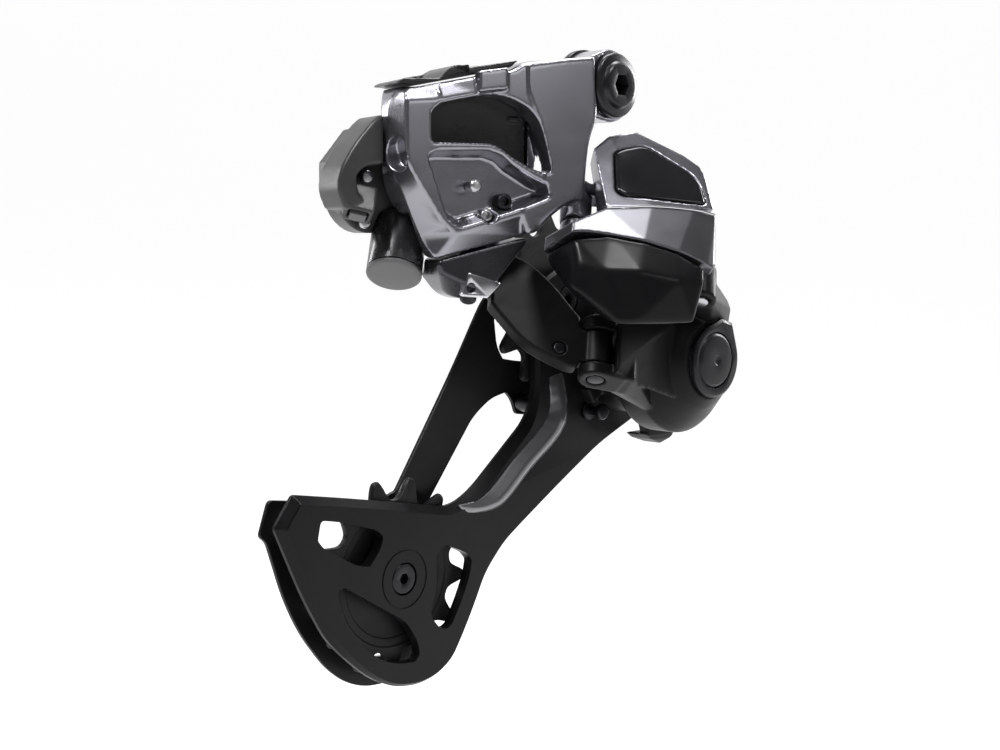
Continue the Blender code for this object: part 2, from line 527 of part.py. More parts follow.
SKID_MID = [(5.0, -10.0, -19.0), (12.0, -12.6, -21.0), (22.0, -14.2, -19.5), (35.0, -13.4, -18.5), (44.4, -9.6, -16.0)]
SKID_LOW = [(-0.3, 3.0, -11.8), (4.4, 3.0, -17.6), (8.7, 3.0, -22.1), (4.6, -6.0, -25.0), (13.5, -6.6, -30.0), (19.0, -6.0, -33.6), (24.0, -6.6, -32.6), (43.0, -5.4, -27.0)]
part("skid_plate", hull([K(*p) for p in SKID_TOP + SKID_MID + SKID_LOW]
                        + [K(*p) for p in SKID_BACK] + [K(18, 1.5, -28), K(38, 1.5, -24.5), K(11, 0.5, -22)]),
     "matte_black", OUT,
     cuts=[hull([K(x, y, z) for x in (36, 60) for y in (-4.0, 20) for z in (-40, 0)])], smooth=25)

# ---------------------------------------------------------------- inner link
INNER_PLATE_OUT = [(-20.6, -19.9), (-14.0, -19.9), (-14.0, -24.0), (-3.3, -34.6), (5.2, -37.8), (11.4, -39.4), (14.0, -39.2), (14.5, -36.8), (20.4, -36.75),
                   (20.4, -26.0), (14.1, -26.0), (14.1, -22.0), (12.0, -20.0), (4.0, -11.5), (-6.3, -5.0), (-20.6, -5.0)]
part("inner_link_body", loft([[K(x, 12.3, z) for x, z in inset(INNER_PLATE_OUT, [0.01, 0.5, 0.5, 0.7, 0.7, 0.5, 0.4, 0.3, 0.01, 0.01, 0.5, 0.5, 0.7, 0.7, 0.7, 0.01])],
                              [K(x, 13.0, z) for x, z in INNER_PLATE_OUT], [K(x, 17.2, z) for x, z in INNER_PLATE_OUT]]), "matte_black", INN,
     adds=[link_cyl(B_INNER, -20.0, -5.1, EYE_R, 24), link_cyl(P_INNER, -36.7, -26.1, EYE_R, 24)],
     cuts=[link_cyl(B_INNER, -40, 20, PIN_BORE_R), link_cyl(P_INNER, -60, 0, OPEN_BORE_R),
           cyl(K(8.0, 11.0, -34.0), K(8.0, 14.4, -34.0), 2.2, 16)], smooth=30)
part("inner_link_screw", lathe([(0, 0), (1.9, 0), (1.9, 1.2), (1.5, 1.6), (0, 1.6)], K(8.0, 14.1, -34.0), -LINK_Y, 16), "black_steel", INN, smooth=35)

# ---------------------------------------------------------------- P knuckle
DRUM_C = W(CAGE_AXIS[0], 0, CAGE_AXIS[1])
drum = lathe([(0, -30.6), (12.6, -30.6), (15.6, -28.4), (22.6, -21.6), (DRUM_R, -19.8), (DRUM_R, -10.9), (23.2, -10.0),
              (NECK_R, -9.6), (NECK_R, 5.6), (0, 5.6)], DRUM_C, Y_AXIS, 32)
ear_out = hull(disc(K(P_OUTER[0], P_OUTER[1], -13.0), LINK_Z, 5.0) + disc(K(P_OUTER[0], P_OUTER[1], -1.6), LINK_Z, 5.0)
               + [K(53.0, 5.0, -13.0), K(53.0, 5.0, -1.6)])
front_web = hull([K(24.2, 6.6, -40.4), K(24.2, 9.2, -40.4), K(24.2, 6.6, -24.0), K(24.2, 9.2, -24.0), K(31.0, 12.0, -41.0), K(31.0, 12.0, -23.0)]
                 + [W(8, -24.0, -76), W(7, -23.5, -92), W(14, -26.5, -72), W(14, -27.5, -96), W(22, -20, -64), W(12, -16, -70)])
arm_out = hull(disc(K(P_OUTER[0], P_OUTER[1], -12.9), LINK_Z, 4.8) + [K(50.5, 2.0, -13.0), K(46.6, 7.0, -13.0), K(53.2, 5.0, -13.0), K(50.0, 7.6, -1.8), K(53.0, 4.5, -1.8), K(47.0, 7.0, -1.8),
                W(34.7, -28, -63.6), W(40.0, -28, -66.0), W(42.6, -27.5, -69.0), W(42.0, -27, -74.0), W(28, -18, -62), W(38, -13, -64),
                W(24, -14, -63), W(22, -24, -70), W(30, -28.5, -74)])
web_in = hull([K(x, y, z) for x in (26.2, 31.0) for y in (10.0, 19.6) for z in (-40.8, -21.4)]
              + [W(8, -18.5, -72), W(8, -11.5, -72), W(7, -18.5, -96), W(7, -11.5, -96), W(16, -18.5, -102), W(16, -11.5, -66)])


def ear_in(z0, z1):
    return hull(disc(K(P_INNER[0], P_INNER[1], z0), LINK_Z, 5.3) + disc(K(P_INNER[0], P_INNER[1], z1), LINK_Z, 5.3)
                + [K(28.5, y, z) for y in (10.2, 19.4) for z in (z0, z1)])


tab_a = hull([W(x, y, z) for x, z in ((25, -101), (40, -101), (29, -111.2), (41, -111.2)) for y in (-5.4, -1.6)])
tab_b = hull([W(x, y, -110.4) for x in (28, 43) for y in (-5.0, 4.2)] + [W(x, y, -112.4) for x in (31, 42) for y in (-5.0, 4.2)]
             + [W(38.0, y, -114.6) for y in (-3.0, 4.2)])
stop_lug = hull([DRUM_C + W(r * cos(radians(a)), y, r * sin(radians(a))) for r in (17.8, 24.4) for a in (204, 218) for y in (0.6, 4.6)])
TEAR = disc(W(CAGE_AXIS[0] + 0.8, 0, CAGE_AXIS[1] - 0.3), Y_AXIS, 11.6, 28) + [W(31.0, 0, -71.6), W(36.6, 0, -73.0)]


def tear(scale, y):
    c = W(CAGE_AXIS[0], 0, CAGE_AXIS[1])
    return [c + (p - c) * scale + W(0, y, 0) for p in TEAR]


part("p_knuckle_housing", drum, "matte_black", PKN,
     adds=[arm_out, ear_out, web_in, front_web, ear_in(-41.2, -37.2), ear_in(-25.7, -21.0), tab_a, tab_b, stop_lug],
     cuts=[hull(tear(1.04, -48) + tear(1.04, -30.5)),
           link_cyl(P_OUTER, -30, 20, PIN_BORE_R), link_cyl(P_INNER, -60, -10, PIN_BORE_R),
           side_cyl(CAGE_AXIS, -40, -18.5, 10.3, 32), side_cyl(CAGE_AXIS, -25, 3, 6.6, 32), side_cyl(CAGE_AXIS, -7.5, 20, 16.8, 32)],
     smooth=30)
part("clutch_cover", hull(tear(0.93, -32.8) + tear(1.0, -32.2) + tear(1.0, -30.9)), "satin_black", PKN,
     cuts=[side_cyl(CAGE_AXIS, -40, -20, 8.9, 28)], smooth=30)
part("clutch_cap", lathe([(0, -33.0), (1.2, -33.1), (1.6, -33.5), (7.6, -33.3), (8.6, -32.5), (8.6, -30.9), (0, -30.9)], DRUM_C, Y_AXIS, 28),
     "satin_black", PKN, smooth=30)
part("clutch_unit", lathe([(6.7, -30.3), (10.0, -30.3), (10.0, -18.9), (6.7, -18.9)], DRUM_C, Y_AXIS, 24), "steel", PKN, smooth=35)


def spring(c, r, wire, y0, y1, turns, steps, sides):
    pts = []
    for i in range(steps + 1):
        w = 2 * pi * turns * i / steps
        centre = c + W(r * cos(w), y0 + (y1 - y0) * i / steps, r * sin(w))
        tangent = W(-r * sin(w) * 2 * pi * turns, (y1 - y0), r * cos(w) * 2 * pi * turns).normalized()
        n1 = W(cos(w), 0, sin(w))
        n2 = tangent.cross(n1).normalized()
        pts.append([centre + n1 * (wire * cos(2 * pi * k / sides)) + n2 * (wire * sin(2 * pi * k / sides)) for k in range(sides)])
    return loft(pts)


part("cage_spring", spring(DRUM_C, 12.0, 1.0, -5.6, 4.0, 3.5, 42, 5), "steel", PKN, smooth=60)
part("outer_link_pin_p", link_cyl(P_OUTER, -13.6, 16.2, PIN_R), "steel", PKN, smooth=35)
part("inner_link_pin_p", link_cyl(P_INNER, -41.0, -20.6, PIN_R), "black_steel", PKN, smooth=35)

# ---------------------------------------------------------------- cage
OUTER_PLATE = [(-106.4, -115.3, 2.4), (-112.9, -123.8, 2.4), (-103.4, -144.5, 2.2), (-95.8, -157.4, 2.0), (-90.5, -163.0, 1.5),
               (-83.3, -169.4, 1.2), (-77.5, -173.4, 1.0), (-70.9, -176.4, 0.9), (-61.8, -177.8, 0.9), (-53.8, -176.4, 0.9),
               (-47.6, -172.6, 0.9), (-41.8, -163.8, 0.9), (-37.5, -156.3, 0.9), (-33.5, -148.6, 0.9), (-25.5, -140.6, 0.9),
               (-18.7, -136.4, 0.9), (0.0, -125.4, 0.9), (19.8, -114.4, 0.9), (30.2, -110.2, 0.9), (41.0, -106.0, 0.9),
               (49.5, -97.0, 0.9), (52.6, -86.0, 0.9), (50.8, -75.0, 0.9), (43.0, -65.0, 0.9), (28.0, -58.0, 0.9), (12.0, -54.6, 0.9),
               (1.5, -54.8, 0.9), (-6.5, -59.0, 0.9), (-9.8, -68.0, 0.9), (-10.4, -82.0, 0.9), (-10.6, -95.6, 1.2), (-14.4, -103.4, 2.6),
               (-36.5, -121.0, 3.0), (-40.8, -123.6, 3.0), (-45.1, -125.4, 2.6), (-50.0, -126.0, 2.4), (-84.4, -119.2, 2.2)]
op_xy = [(x, z) for x, z, d in OUTER_PLATE]
op_in = inset(op_xy, [d for x, z, d in OUTER_PLATE])
WIN_A = [(-98.5, -123.2), (-91.8, -124.5), (-78.2, -128.7), (-75.7, -131.0), (-76.7, -134.4), (-80.9, -139.0), (-85.8, -137.9), (-97.6, -131.2), (-99.7, -128.7)]
WIN_B = [(-93.1, -144.1), (-90.2, -143.4), (-69.6, -155.9), (-66.5, -158.3), (-62.5, -164.4), (-61.8, -168.5), (-63.8, -170.2),
         (-69.7, -169.6), (-75.5, -167.7), (-83.1, -162.6), (-88.6, -156.3), (-92.1, -149.4)]
WIN_C = [(-55.5, -141.0), (-53.4, -138.3), (-51.0, -137.2), (-47.2, -138.7), (-42.1, -141.0), (-40.0, -143.5), (-40.9, -148.0),
         (-44.3, -155.1), (-48.6, -162.0), (-50.7, -162.8), (-53.6, -162.0), (-56.8, -158.3), (-57.2, -155.8), (-55.1, -150.1), (-54.7, -145.7)]
STOP_PIN_AT = (13.1, -102.2)
SPACER_AT = (-7.6, -98.6)


def window(outline):
    return side_prism(outline, 2, 30)


part("outer_plate", loft([[W(x, OUTER_PLATE_Y0, z) for x, z in op_in],
                          [W(x, OUTER_PLATE_Y0 + (1.2 if d < 1.3 else (1.8 if d < 2.6 else 2.6)) * (0.75 if d < 1.3 else 1.0), z) for x, z, d in OUTER_PLATE],
                          [W(x, OUTER_PLATE_Y1, z) for x, z in op_xy]]), "satin_black", CAG,
     cuts=[window(WIN_A), window(WIN_B), window(WIN_C),
           side_cyl(TENSION_AXIS, 4, 9.7, 4.9, 24), side_cyl(TENSION_AXIS, 4, 20, 2.7, 20),
           side_cyl(GUIDE_AXIS, 4, 9.7, 4.9, 24), side_cyl(GUIDE_AXIS, 4, 20, 2.7, 20),
           side_cyl(CAGE_AXIS, 4, 20, 4.3, 20), side_cyl(STOP_PIN_AT, 4, 20, 1.9, 16)], smooth=20)

INNER_PLATE = [(-108.2, -117.6), (-111.6, -127.4), (-109.2, -129.4), (-103.5, -146.4), (-97.7, -157.7), (-88.8, -169.1), (-81.4, -174.9),
               (-73.7, -177.8), (-62.0, -178.4), (-54.6, -176.6), (-49.6, -171.0), (-46.4, -162.0), (-46.6, -150.0), (-47.6, -135.0),
               (-49.1, -126.8), (-29.8, -102.5), (-26.3, -99.7), (-20.9, -96.4), (-14.1, -95.0), (-11.2, -97.8), (-9.4, -102.4), (-4.6, -103.0),
               (2.0, -100.0), (8.5, -92.0), (12.5, -82.0), (14.5, -70.0), (12.0, -60.0), (3.4, -55.6), (-8.0, -56.6), (-18.0, -60.6),
               (-24.0, -65.0), (-27.6, -70.4), (-37.6, -86.4), (-61.3, -120.8), (-70.0, -123.2)]
IN_HOLE = [(-19.6, -71.0), (-18.4, -80.0), (-15.6, -84.2), (-10.0, -85.2), (-4.3, -85.8), (-3.8, -81.0), (-7.0, -75.0), (-12.0, -69.0)]
part("inner_plate", loft([[W(x, INNER_PLATE_Y0, z) for x, z in INNER_PLATE], [W(x, INNER_PLATE_Y1 - 0.5, z) for x, z in INNER_PLATE],
                          [W(x, INNER_PLATE_Y1, z) for x, z in inset(INNER_PLATE, 0.5)]]), "satin_black", CAG,
     cuts=[window(WIN_A), window(WIN_B), window(IN_HOLE), side_cyl(TENSION_AXIS, 4, 30, 2.7, 20), side_cyl(GUIDE_AXIS, 4, 30, 2.7, 20),
           side_cyl(SPACER_AT, 4, 30, 1.9, 16)], smooth=20)

part("cage_axle", lathe([(0, -26.5), (5.8, -26.5), (6.2, -26.0), (6.2, 6.0), (18.0, 6.0), (18.0, 7.7), (4.0, 7.7), (4.0, 10.8), (0, 10.8)],
                        DRUM_C, Y_AXIS, 28), "steel", CAG, smooth=35)
part("stop_pin", lathe([(0, 0.6), (2.2, 0.6), (2.6, 1.0), (2.6, 2.4), (1.5, 2.8), (1.5, 6.7), (3.0, 6.7), (3.0, 7.7), (1.6, 7.7), (1.6, 11.2), (0, 11.2)],
                       W(STOP_PIN_AT[0], 0, STOP_PIN_AT[1]), Y_AXIS, 20), "black_steel", CAG, smooth=35)
part("cage_spacer", lathe([(0, 11.7), (3.0, 11.7), (3.0, 18.1), (1.6, 18.1), (1.6, 20.0), (0, 20.0)], W(SPACER_AT[0], 0, SPACER_AT[1]), Y_AXIS, 18),
     "black_steel", CAG, smooth=35)


def pulley_bolt(name, at):
    part(name, lathe([(0, 8.1), (4.2, 8.1), (4.6, 8.5), (4.6, 9.4), (2.4, 9.4), (2.4, 20.6), (0, 20.6)], W(at[0], 0, at[1]), Y_AXIS, 24),
         "black_steel", CAG, cuts=[hex_cut(W(at[0], 6, at[1]), W(at[0], 10.6, at[1]), 3.0)], smooth=35)


def pulley_bush(name, at):
    part(name, lathe([(2.75, 11.7), (4.6, 11.7), (4.6, 18.1), (2.75, 18.1)], W(at[0], 0, at[1]), Y_AXIS, 20), "steel", CAG, smooth=35)


pulley_bolt("guide_bolt", GUIDE_AXIS)
pulley_bolt("tension_bolt", TENSION_AXIS)
pulley_bush("guide_bush", GUIDE_AXIS)
pulley_bush("tension_bush", TENSION_AXIS)


def tooth_outline(phase, tip_half):
    """Five points a tooth: valley floor, flanks and a blunt tip."""
    pts = []
    step = 2 * pi / TEETH
    for i in range(TEETH):
        c = radians(phase) + i * step
        for da, r in ((-0.50, ROOT_R), (-0.29, ROOT_R + 0.8), (-tip_half, TIP_R), (tip_half, TIP_R), (0.29, ROOT_R + 0.8)):
            pts.append((r * cos(c + da * step), r * sin(c + da * step)))
    return pts


def pulley(name, at, parent, phase):
    out = tooth_outline(phase, 0.09)
    n = len(out)

    def at_y(points, y):
        return [W(at[0] + x, y, at[1] + z) for x, z in points]

    def circle(r, y):
        return [W(at[0] + r * x / hypot(x, z), y, at[1] + r * z / hypot(x, z)) for x, z in out]

    m = (PULLEY_Y0 + PULLEY_Y1) / 2
    loops = [at_y(out, m - 1.1), circle(7.4, m - 1.1), circle(7.4, m + 1.1), at_y(out, m + 1.1)]
    part(name, ring_loft(loops), "satin_black", parent, smooth=35)


pulley("guide_pulley", GUIDE_AXIS, GPU, GUIDE_PHASE)
pulley("tension_pulley", TENSION_AXIS, TPU, TENSION_PHASE)
for nm, at, par in (("guide_bearing", GUIDE_AXIS, GPU), ("tension_bearing", TENSION_AXIS, TPU)):
    part(nm, lathe([(4.9, 11.8), (6.4, 11.8), (7.1, 12.4), (7.1, 17.4), (6.4, 18.0), (4.9, 18.0)], W(at[0], 0, at[1]), Y_AXIS, 24), "steel", par, smooth=35)

bpy.context.view_layer.update()
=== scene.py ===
import bpy
import bmesh
from math import sin, cos, pi, radians, atan2, hypot, tan, acos
from mathutils import Vector, Matrix


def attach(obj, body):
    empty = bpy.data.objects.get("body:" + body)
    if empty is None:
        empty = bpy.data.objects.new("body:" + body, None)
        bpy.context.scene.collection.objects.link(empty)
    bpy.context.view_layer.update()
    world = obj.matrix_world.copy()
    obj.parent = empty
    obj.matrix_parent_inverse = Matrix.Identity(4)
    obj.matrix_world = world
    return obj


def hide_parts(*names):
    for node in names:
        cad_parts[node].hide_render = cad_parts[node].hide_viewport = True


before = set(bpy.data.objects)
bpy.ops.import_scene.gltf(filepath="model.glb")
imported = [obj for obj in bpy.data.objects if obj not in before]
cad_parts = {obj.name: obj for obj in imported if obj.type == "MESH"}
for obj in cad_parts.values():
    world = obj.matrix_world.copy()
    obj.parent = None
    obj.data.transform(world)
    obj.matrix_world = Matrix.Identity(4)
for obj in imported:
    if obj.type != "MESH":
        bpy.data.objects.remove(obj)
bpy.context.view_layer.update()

MM = 0.001
GAP = 0.3                      # clearance between neighbouring parts

# ---------------------------------------------------------------- driving dimensions
# mounting bolt (M10 x 1, 6 mm hexagon socket)
BOLT_THREAD_R = 5.0
BOLT_JOURNAL_R = 6.0
BOLT_FLANGE_R = 9.7
BOLT_HEAD_R = 6.9
BOLT_HEAD_Y = -16.6
BOLT_END_Y = 10.0
HEX_6 = 6.0
BOSS_R = 11.0                  # knuckle boss around the bolt
BOSS_Y0, BOSS_Y1 = -12.6, -2.3
STOP_PLATE_R = 11.6

# parallelogram (coordinates in the link frame, see K below)
LINK_LENGTH = 41.0
B_OUTER = (7.4, 3.0)
B_INNER = (-20.6, 14.8)
P_OUTER = (B_OUTER[0] + LINK_LENGTH, B_OUTER[1])
P_INNER = (B_INNER[0] + LINK_LENGTH, B_INNER[1])
PIN_R = 2.5
PIN_BORE_R = PIN_R + GAP
OPEN_BORE_R = 3.1              # pivot left free to close the linkage
EYE_R = 4.6
EYE_CLEAR_R = 5.3

# cage pivot and pulleys (x, z)
CAGE_AXIS = (27.5, -84.3)
GUIDE_AXIS = (3.4, -66.1)
TENSION_AXIS = (-67.7, -144.7)
TEETH = 13
CHAIN_PITCH = 12.7
PITCH_R = CHAIN_PITCH / (2 * sin(pi / TEETH))      # 26.53
TIP_R = 29.3
ROOT_R = 22.6
PULLEY_Y0, PULLEY_Y1 = 12.4, 14.6
OUTER_PLATE_Y0, OUTER_PLATE_Y1 = 8.0, 11.4
INNER_PLATE_Y0, INNER_PLATE_Y1 = 18.4, 20.2
GUIDE_PHASE = 211.0
TENSION_PHASE = 75.2

DRUM_R = 24.0                  # clutch and spring housing
NECK_R = 19.0

# ---------------------------------------------------------------- frames
# Knuckle face frame: s runs rearward along the face, z is up, t is depth inboard.
FACE_O = Vector((-12.0, -14.0, 0.0))
FACE_S = Vector((-0.957, 0.290, 0.0)).normalized()
FACE_T = Vector((0.290, 0.957, 0.0)).normalized()
# Link frame: x along the links, y inboard, z along the four parallel pivots.
LINK_O = Vector((-22.3, -9.3, -41.9))
LINK_Z = Vector((0.460, 0.340, 0.820)).normalized()
LINK_X = Vector((0.8078, -0.5443, -0.2274))
LINK_X = (LINK_X - LINK_Z * LINK_X.dot(LINK_Z)).normalized()
LINK_Y = LINK_Z.cross(LINK_X)
Y_AXIS = Vector((0.0, 1.0, 0.0))


def F(s, z, t):
    return FACE_O + FACE_S * s + Vector((0, 0, z)) + FACE_T * t


def K(x, y, z):
    return LINK_O + LINK_X * x + LINK_Y * y + LINK_Z * z


def W(x, y, z):
    return Vector((x, y, z))


# ---------------------------------------------------------------- finishes
SURFACES = {}
LOOK = {
    "b_knuckle_body": "knuckle_grey", "outer_link_body": "link_grey", "skid_plate": "skid_black", "p_knuckle_housing": "cast_black",
    "outer_plate": "plate_black", "inner_plate": "plate_black", "guide_pulley": "pulley_black", "tension_pulley": "pulley_black",
    "mount_bolt": "bolt_black", "badge_panel": "gloss_panel", "motor_can_cap": "cap_grey", "function_button": "cap_grey", "motor_can": "can_grey",
    "clutch_cap": "cap_black", "clutch_cover": "cap_black", "battery_pack": "polymer_black", "battery_cover": "cover_black",
    "motor_housing": "housing_grey", "back_cover": "polymer_black", "inner_link_body": "cast_black",
}
# base colour, second colour, metallic, roughness low and high, grain size (per metre), bump height, coat
RECIPES = {
    "knuckle_grey": ((0.275, 0.273, 0.303), (0.258, 0.256, 0.285), 0.92, 0.22, 0.27, 5200, 0.000004, 0.3),
    "link_grey": ((0.225, 0.223, 0.250), (0.208, 0.206, 0.232), 0.92, 0.21, 0.26, 5200, 0.000004, 0.35),
    # knuckle grey darkened: painted shade, used on the knuckle's tip and on the gearbox
    "dark_grey_metal": ((0.058, 0.058, 0.066), (0.050, 0.050, 0.057), 0.88, 0.24, 0.31, 5000, 0.000004, 0.25),
    "skid_black": ((0.0062, 0.0062, 0.0068), (0.0043, 0.0043, 0.0050), 0.0, 0.26, 0.38, 2200, 0.00003, 0.1),
    "cast_black": ((0.0062, 0.0062, 0.0068), (0.0037, 0.0037, 0.0043), 0.0, 0.34, 0.46, 1900, 0.00004, 0.0),
    "plate_black": ((0.0081, 0.0081, 0.0090), (0.0056, 0.0056, 0.0062), 0.0, 0.30, 0.42, 2600, 0.00001, 0.05),
    "satin_black": ((0.0087, 0.0087, 0.0096), (0.0056, 0.0056, 0.0062), 0.1, 0.30, 0.42, 2200, 0.00002, 0.1),
    "matte_black": ((0.0062, 0.0062, 0.0068), (0.0043, 0.0043, 0.0050), 0.0, 0.42, 0.56, 2000, 0.00003, 0.0),
    "polymer_black": ((0.030, 0.030, 0.031), (0.023, 0.023, 0.024), 0.0, 0.24, 0.34, 2400, 0.00003, 0.0),
    "cover_black": ((0.014, 0.014, 0.015), (0.009, 0.009, 0.010), 0.0, 0.22, 0.34, 2400, 0.00002, 0.2),
    "pulley_black": ((0.012, 0.012, 0.013), (0.007, 0.007, 0.008), 0.0, 0.36, 0.50, 2000, 0.00002, 0.0),
    "cap_black": ((0.014, 0.014, 0.016), (0.009, 0.009, 0.011), 0.05, 0.28, 0.40, 2600, 0.00001, 0.1),
    "bolt_black": ((0.020, 0.020, 0.023), (0.013, 0.013, 0.015), 0.6, 0.26, 0.38, 2400, 0.00001, 0.1),
    "black_steel": ((0.030, 0.030, 0.034), (0.020, 0.020, 0.022), 0.85, 0.26, 0.40, 2400, 0.00001, 0.0),
    "steel": ((0.50, 0.50, 0.51), (0.38, 0.38, 0.40), 1.0, 0.22, 0.36, 2400, 0.00001, 0.0),
    # bright metal: the link's trim line, and the painted highlight on the tip's corner
    "bright_trim_and_painted_highlight": ((0.62, 0.62, 0.65), (0.52, 0.52, 0.55), 1.0, 0.14, 0.24, 2400, 0.00001, 0.2),
    "band_charcoal": ((0.125, 0.124, 0.136), (0.110, 0.109, 0.120), 0.85, 0.27, 0.34, 4200, 0.000004, 0.15),
    "gloss_panel": ((0.010, 0.010, 0.012), (0.007, 0.007, 0.008), 0.0, 0.10, 0.16, 900, 0.000003, 0.25),
    "gloss_black": ((0.008, 0.008, 0.010), (0.005, 0.005, 0.006), 0.0, 0.06, 0.12, 900, 0.000003, 0.6),
    "cap_grey": ((0.135, 0.135, 0.138), (0.115, 0.115, 0.118), 0.2, 0.34, 0.46, 2200, 0.00002, 0.0),
    "board_green": ((0.02, 0.11, 0.05), (0.015, 0.075, 0.035), 0.0, 0.30, 0.45, 1500, 0.00002, 0.3),
    "bronze": ((0.45, 0.28, 0.12), (0.33, 0.20, 0.08), 0.9, 0.30, 0.45, 2200, 0.00001, 0.0),
    "polished_grey": ((0.225, 0.223, 0.250), (0.208, 0.206, 0.232), 0.92, 0.21, 0.26, 5200, 0.000004, 0.35),
    "can_grey": ((0.085, 0.085, 0.088), (0.075, 0.075, 0.078), 0.8, 0.24, 0.32, 4200, 0.000004, 0.1),
    "housing_grey": ((0.055, 0.055, 0.056), (0.046, 0.046, 0.047), 0.25, 0.30, 0.42, 2600, 0.00002, 0.05),
    # grey for the cage arm's ridge: a painted highlight over the black plate
    "ridge_painted_highlight": ((0.210, 0.210, 0.220), (0.190, 0.190, 0.200), 0.85, 0.26, 0.32, 4200, 0.000004, 0.1),
}


def surface(kind):
    """Procedural finish: cloudy tone, grain, handling wear and scratches in the gloss."""
    if kind in SURFACES:
        return SURFACES[kind]
    c0, c1, metal, r0, r1, grain, height, coat = RECIPES[kind]
    m = bpy.data.materials.new("finish_" + kind)
    m.use_nodes = True
    nt = m.node_tree
    b = nt.nodes["Principled BSDF"]
    b.inputs["Metallic"].default_value = metal
    b.inputs["Coat Weight"].default_value = coat
    b.inputs["Coat Roughness"].default_value = 0.12
    b.inputs["Specular IOR Level"].default_value = 0.5 if metal > 0.5 else (0.12 if c0[0] < 0.0095 else 0.2)
    co = nt.nodes.new("ShaderNodeTexCoord")

    def noise(scale, detail, rough=0.55, dist=0.0):
        n = nt.nodes.new("ShaderNodeTexNoise")
        n.inputs["Scale"].default_value = scale
        n.inputs["Detail"].default_value = detail
        n.inputs["Roughness"].default_value = rough
        n.inputs["Distortion"].default_value = dist
        nt.links.new(co.outputs["Object"], n.inputs["Vector"])
        return n

    cloud = noise(42.0, 6.0, 0.6, 0.4)
    fine = noise(float(grain), 3.0)
    ramp = nt.nodes.new("ShaderNodeValToRGB")
    ramp.color_ramp.elements[0].position = 0.34
    ramp.color_ramp.elements[0].color = (*c1, 1.0)
    ramp.color_ramp.elements[1].position = 0.66
    ramp.color_ramp.elements[1].color = (*c0, 1.0)
    nt.links.new(cloud.outputs["Fac"], ramp.inputs["Fac"])
    # worn specks, slightly lighter than the ground
    speck = noise(float(grain) * 0.32, 2.0, 0.5, 1.2)
    pick = nt.nodes.new("ShaderNodeMapRange")
    pick.inputs["From Min"].default_value = 0.66
    pick.inputs["From Max"].default_value = 0.80
    pick.inputs["To Min"].default_value = 0.0
    pick.inputs["To Max"].default_value = 0.14 if metal > 0.5 else 0.3
    nt.links.new(speck.outputs["Fac"], pick.inputs["Value"])
    mix = nt.nodes.new("ShaderNodeMixRGB")
    mix.blend_type = "MIX"
    mix.inputs["Color2"].default_value = (min(1, c0[0] * 1.3 + 0.002), min(1, c0[1] * 1.3 + 0.002), min(1, c0[2] * 1.3 + 0.002), 1.0)
    nt.links.new(pick.outputs["Result"], mix.inputs["Fac"])
    nt.links.new(ramp.outputs["Color"], mix.inputs["Color1"])
    nt.links.new(mix.outputs["Color"], b.inputs["Base Color"])
    # gloss varies with handling and with fine scratches
    wave = nt.nodes.new("ShaderNodeMapping")
    wave.inputs["Scale"].default_value = (1.0, 1.0, 2.2)
    nt.links.new(co.outputs["Object"], wave.inputs["Vector"])
    streak = nt.nodes.new("ShaderNodeTexNoise")
    streak.inputs["Scale"].default_value = 90.0
    streak.inputs["Detail"].default_value = 5.0
    nt.links.new(wave.outputs["Vector"], streak.inputs["Vector"])
    both = nt.nodes.new("ShaderNodeMath")
    both.operation = "ADD"
    nt.links.new(cloud.outputs["Fac"], both.inputs[0])
    nt.links.new(streak.outputs["Fac"], both.inputs[1])
    rr = nt.nodes.new("ShaderNodeMapRange")
    rr.inputs["From Min"].default_value = 0.7
    rr.inputs["From Max"].default_value = 1.3
    rr.inputs["To Min"].default_value = r0
    rr.inputs["To Max"].default_value = r1
    nt.links.new(both.outputs["Value"], rr.inputs["Value"])
    nt.links.new(rr.outputs["Result"], b.inputs["Roughness"])
    bump = nt.nodes.new("ShaderNodeBump")
    bump.inputs["Strength"].default_value = 0.5
    bump.inputs["Distance"].default_value = height
    nt.links.new(fine.outputs["Fac"], bump.inputs["Height"])
    nt.links.new(bump.outputs["Normal"], b.inputs["Normal"])
    SURFACES[kind] = m
    return m


# ---------------------------------------------------------------- mesh helpers
def soft(points, sharp_r=1.4, seg=5, limit=38.0):
    """Round a polygon: gentle corners become one flowing curve, sharp ones a small arc.
    A point may carry more numbers after x and z, which are blended along."""
    n = len(points)
    out = []
    for i in range(n):
        a, v, b = points[i - 1], points[i], points[(i + 1) % n]
        la = hypot(v[0] - a[0], v[1] - a[1])
        lb = hypot(b[0] - v[0], b[1] - v[1])
        dot = ((v[0] - a[0]) * (b[0] - v[0]) + (v[1] - a[1]) * (b[1] - v[1])) / (la * lb)
        turn = acos(max(-1.0, min(1.0, dot)))
        most = 0.47 * min(la, lb)
        t = most if turn < radians(limit) else min(most, sharp_r * tan(min(turn, 2.6) / 2) + 0.02)
        p = [v[k] + (a[k] - v[k]) * t / la for k in range(len(v))]
        q = [v[k] + (b[k] - v[k]) * t / lb for k in range(len(v))]
        for j in range(seg + 1):
            w = j / seg
            out.append(tuple(p[k] * (1 - w) ** 2 + 2 * v[k] * w * (1 - w) + q[k] * w ** 2 for k in range(len(v))))
    return out


def soft_pair(a, b, r):
    return soft(a, r), soft(b, r)


def mesh_of(name, verts, faces):
    me = bpy.data.meshes.new(name)
    bm = bmesh.new()
    vs = [bm.verts.new(v) for v in verts]
    for f in faces:
        bm.faces.new([vs[i] for i in f])
    bmesh.ops.recalc_face_normals(bm, faces=bm.faces[:])
    bm.to_mesh(me)
    bm.free()
    return me


def loft(loops):
    """Closed solid through loops of the same number of points."""
    n = len(loops[0])
    verts = [p for lp in loops for p in lp]
    faces = [list(range(n))[::-1]]
    for k in range(len(loops) - 1):
        a, b = k * n, (k + 1) * n
        for i in range(n):
            j = (i + 1) % n
            faces.append([a + i, a + j, b + j, b + i])
    faces.append(list(range((len(loops) - 1) * n, len(loops) * n)))
    return verts, faces


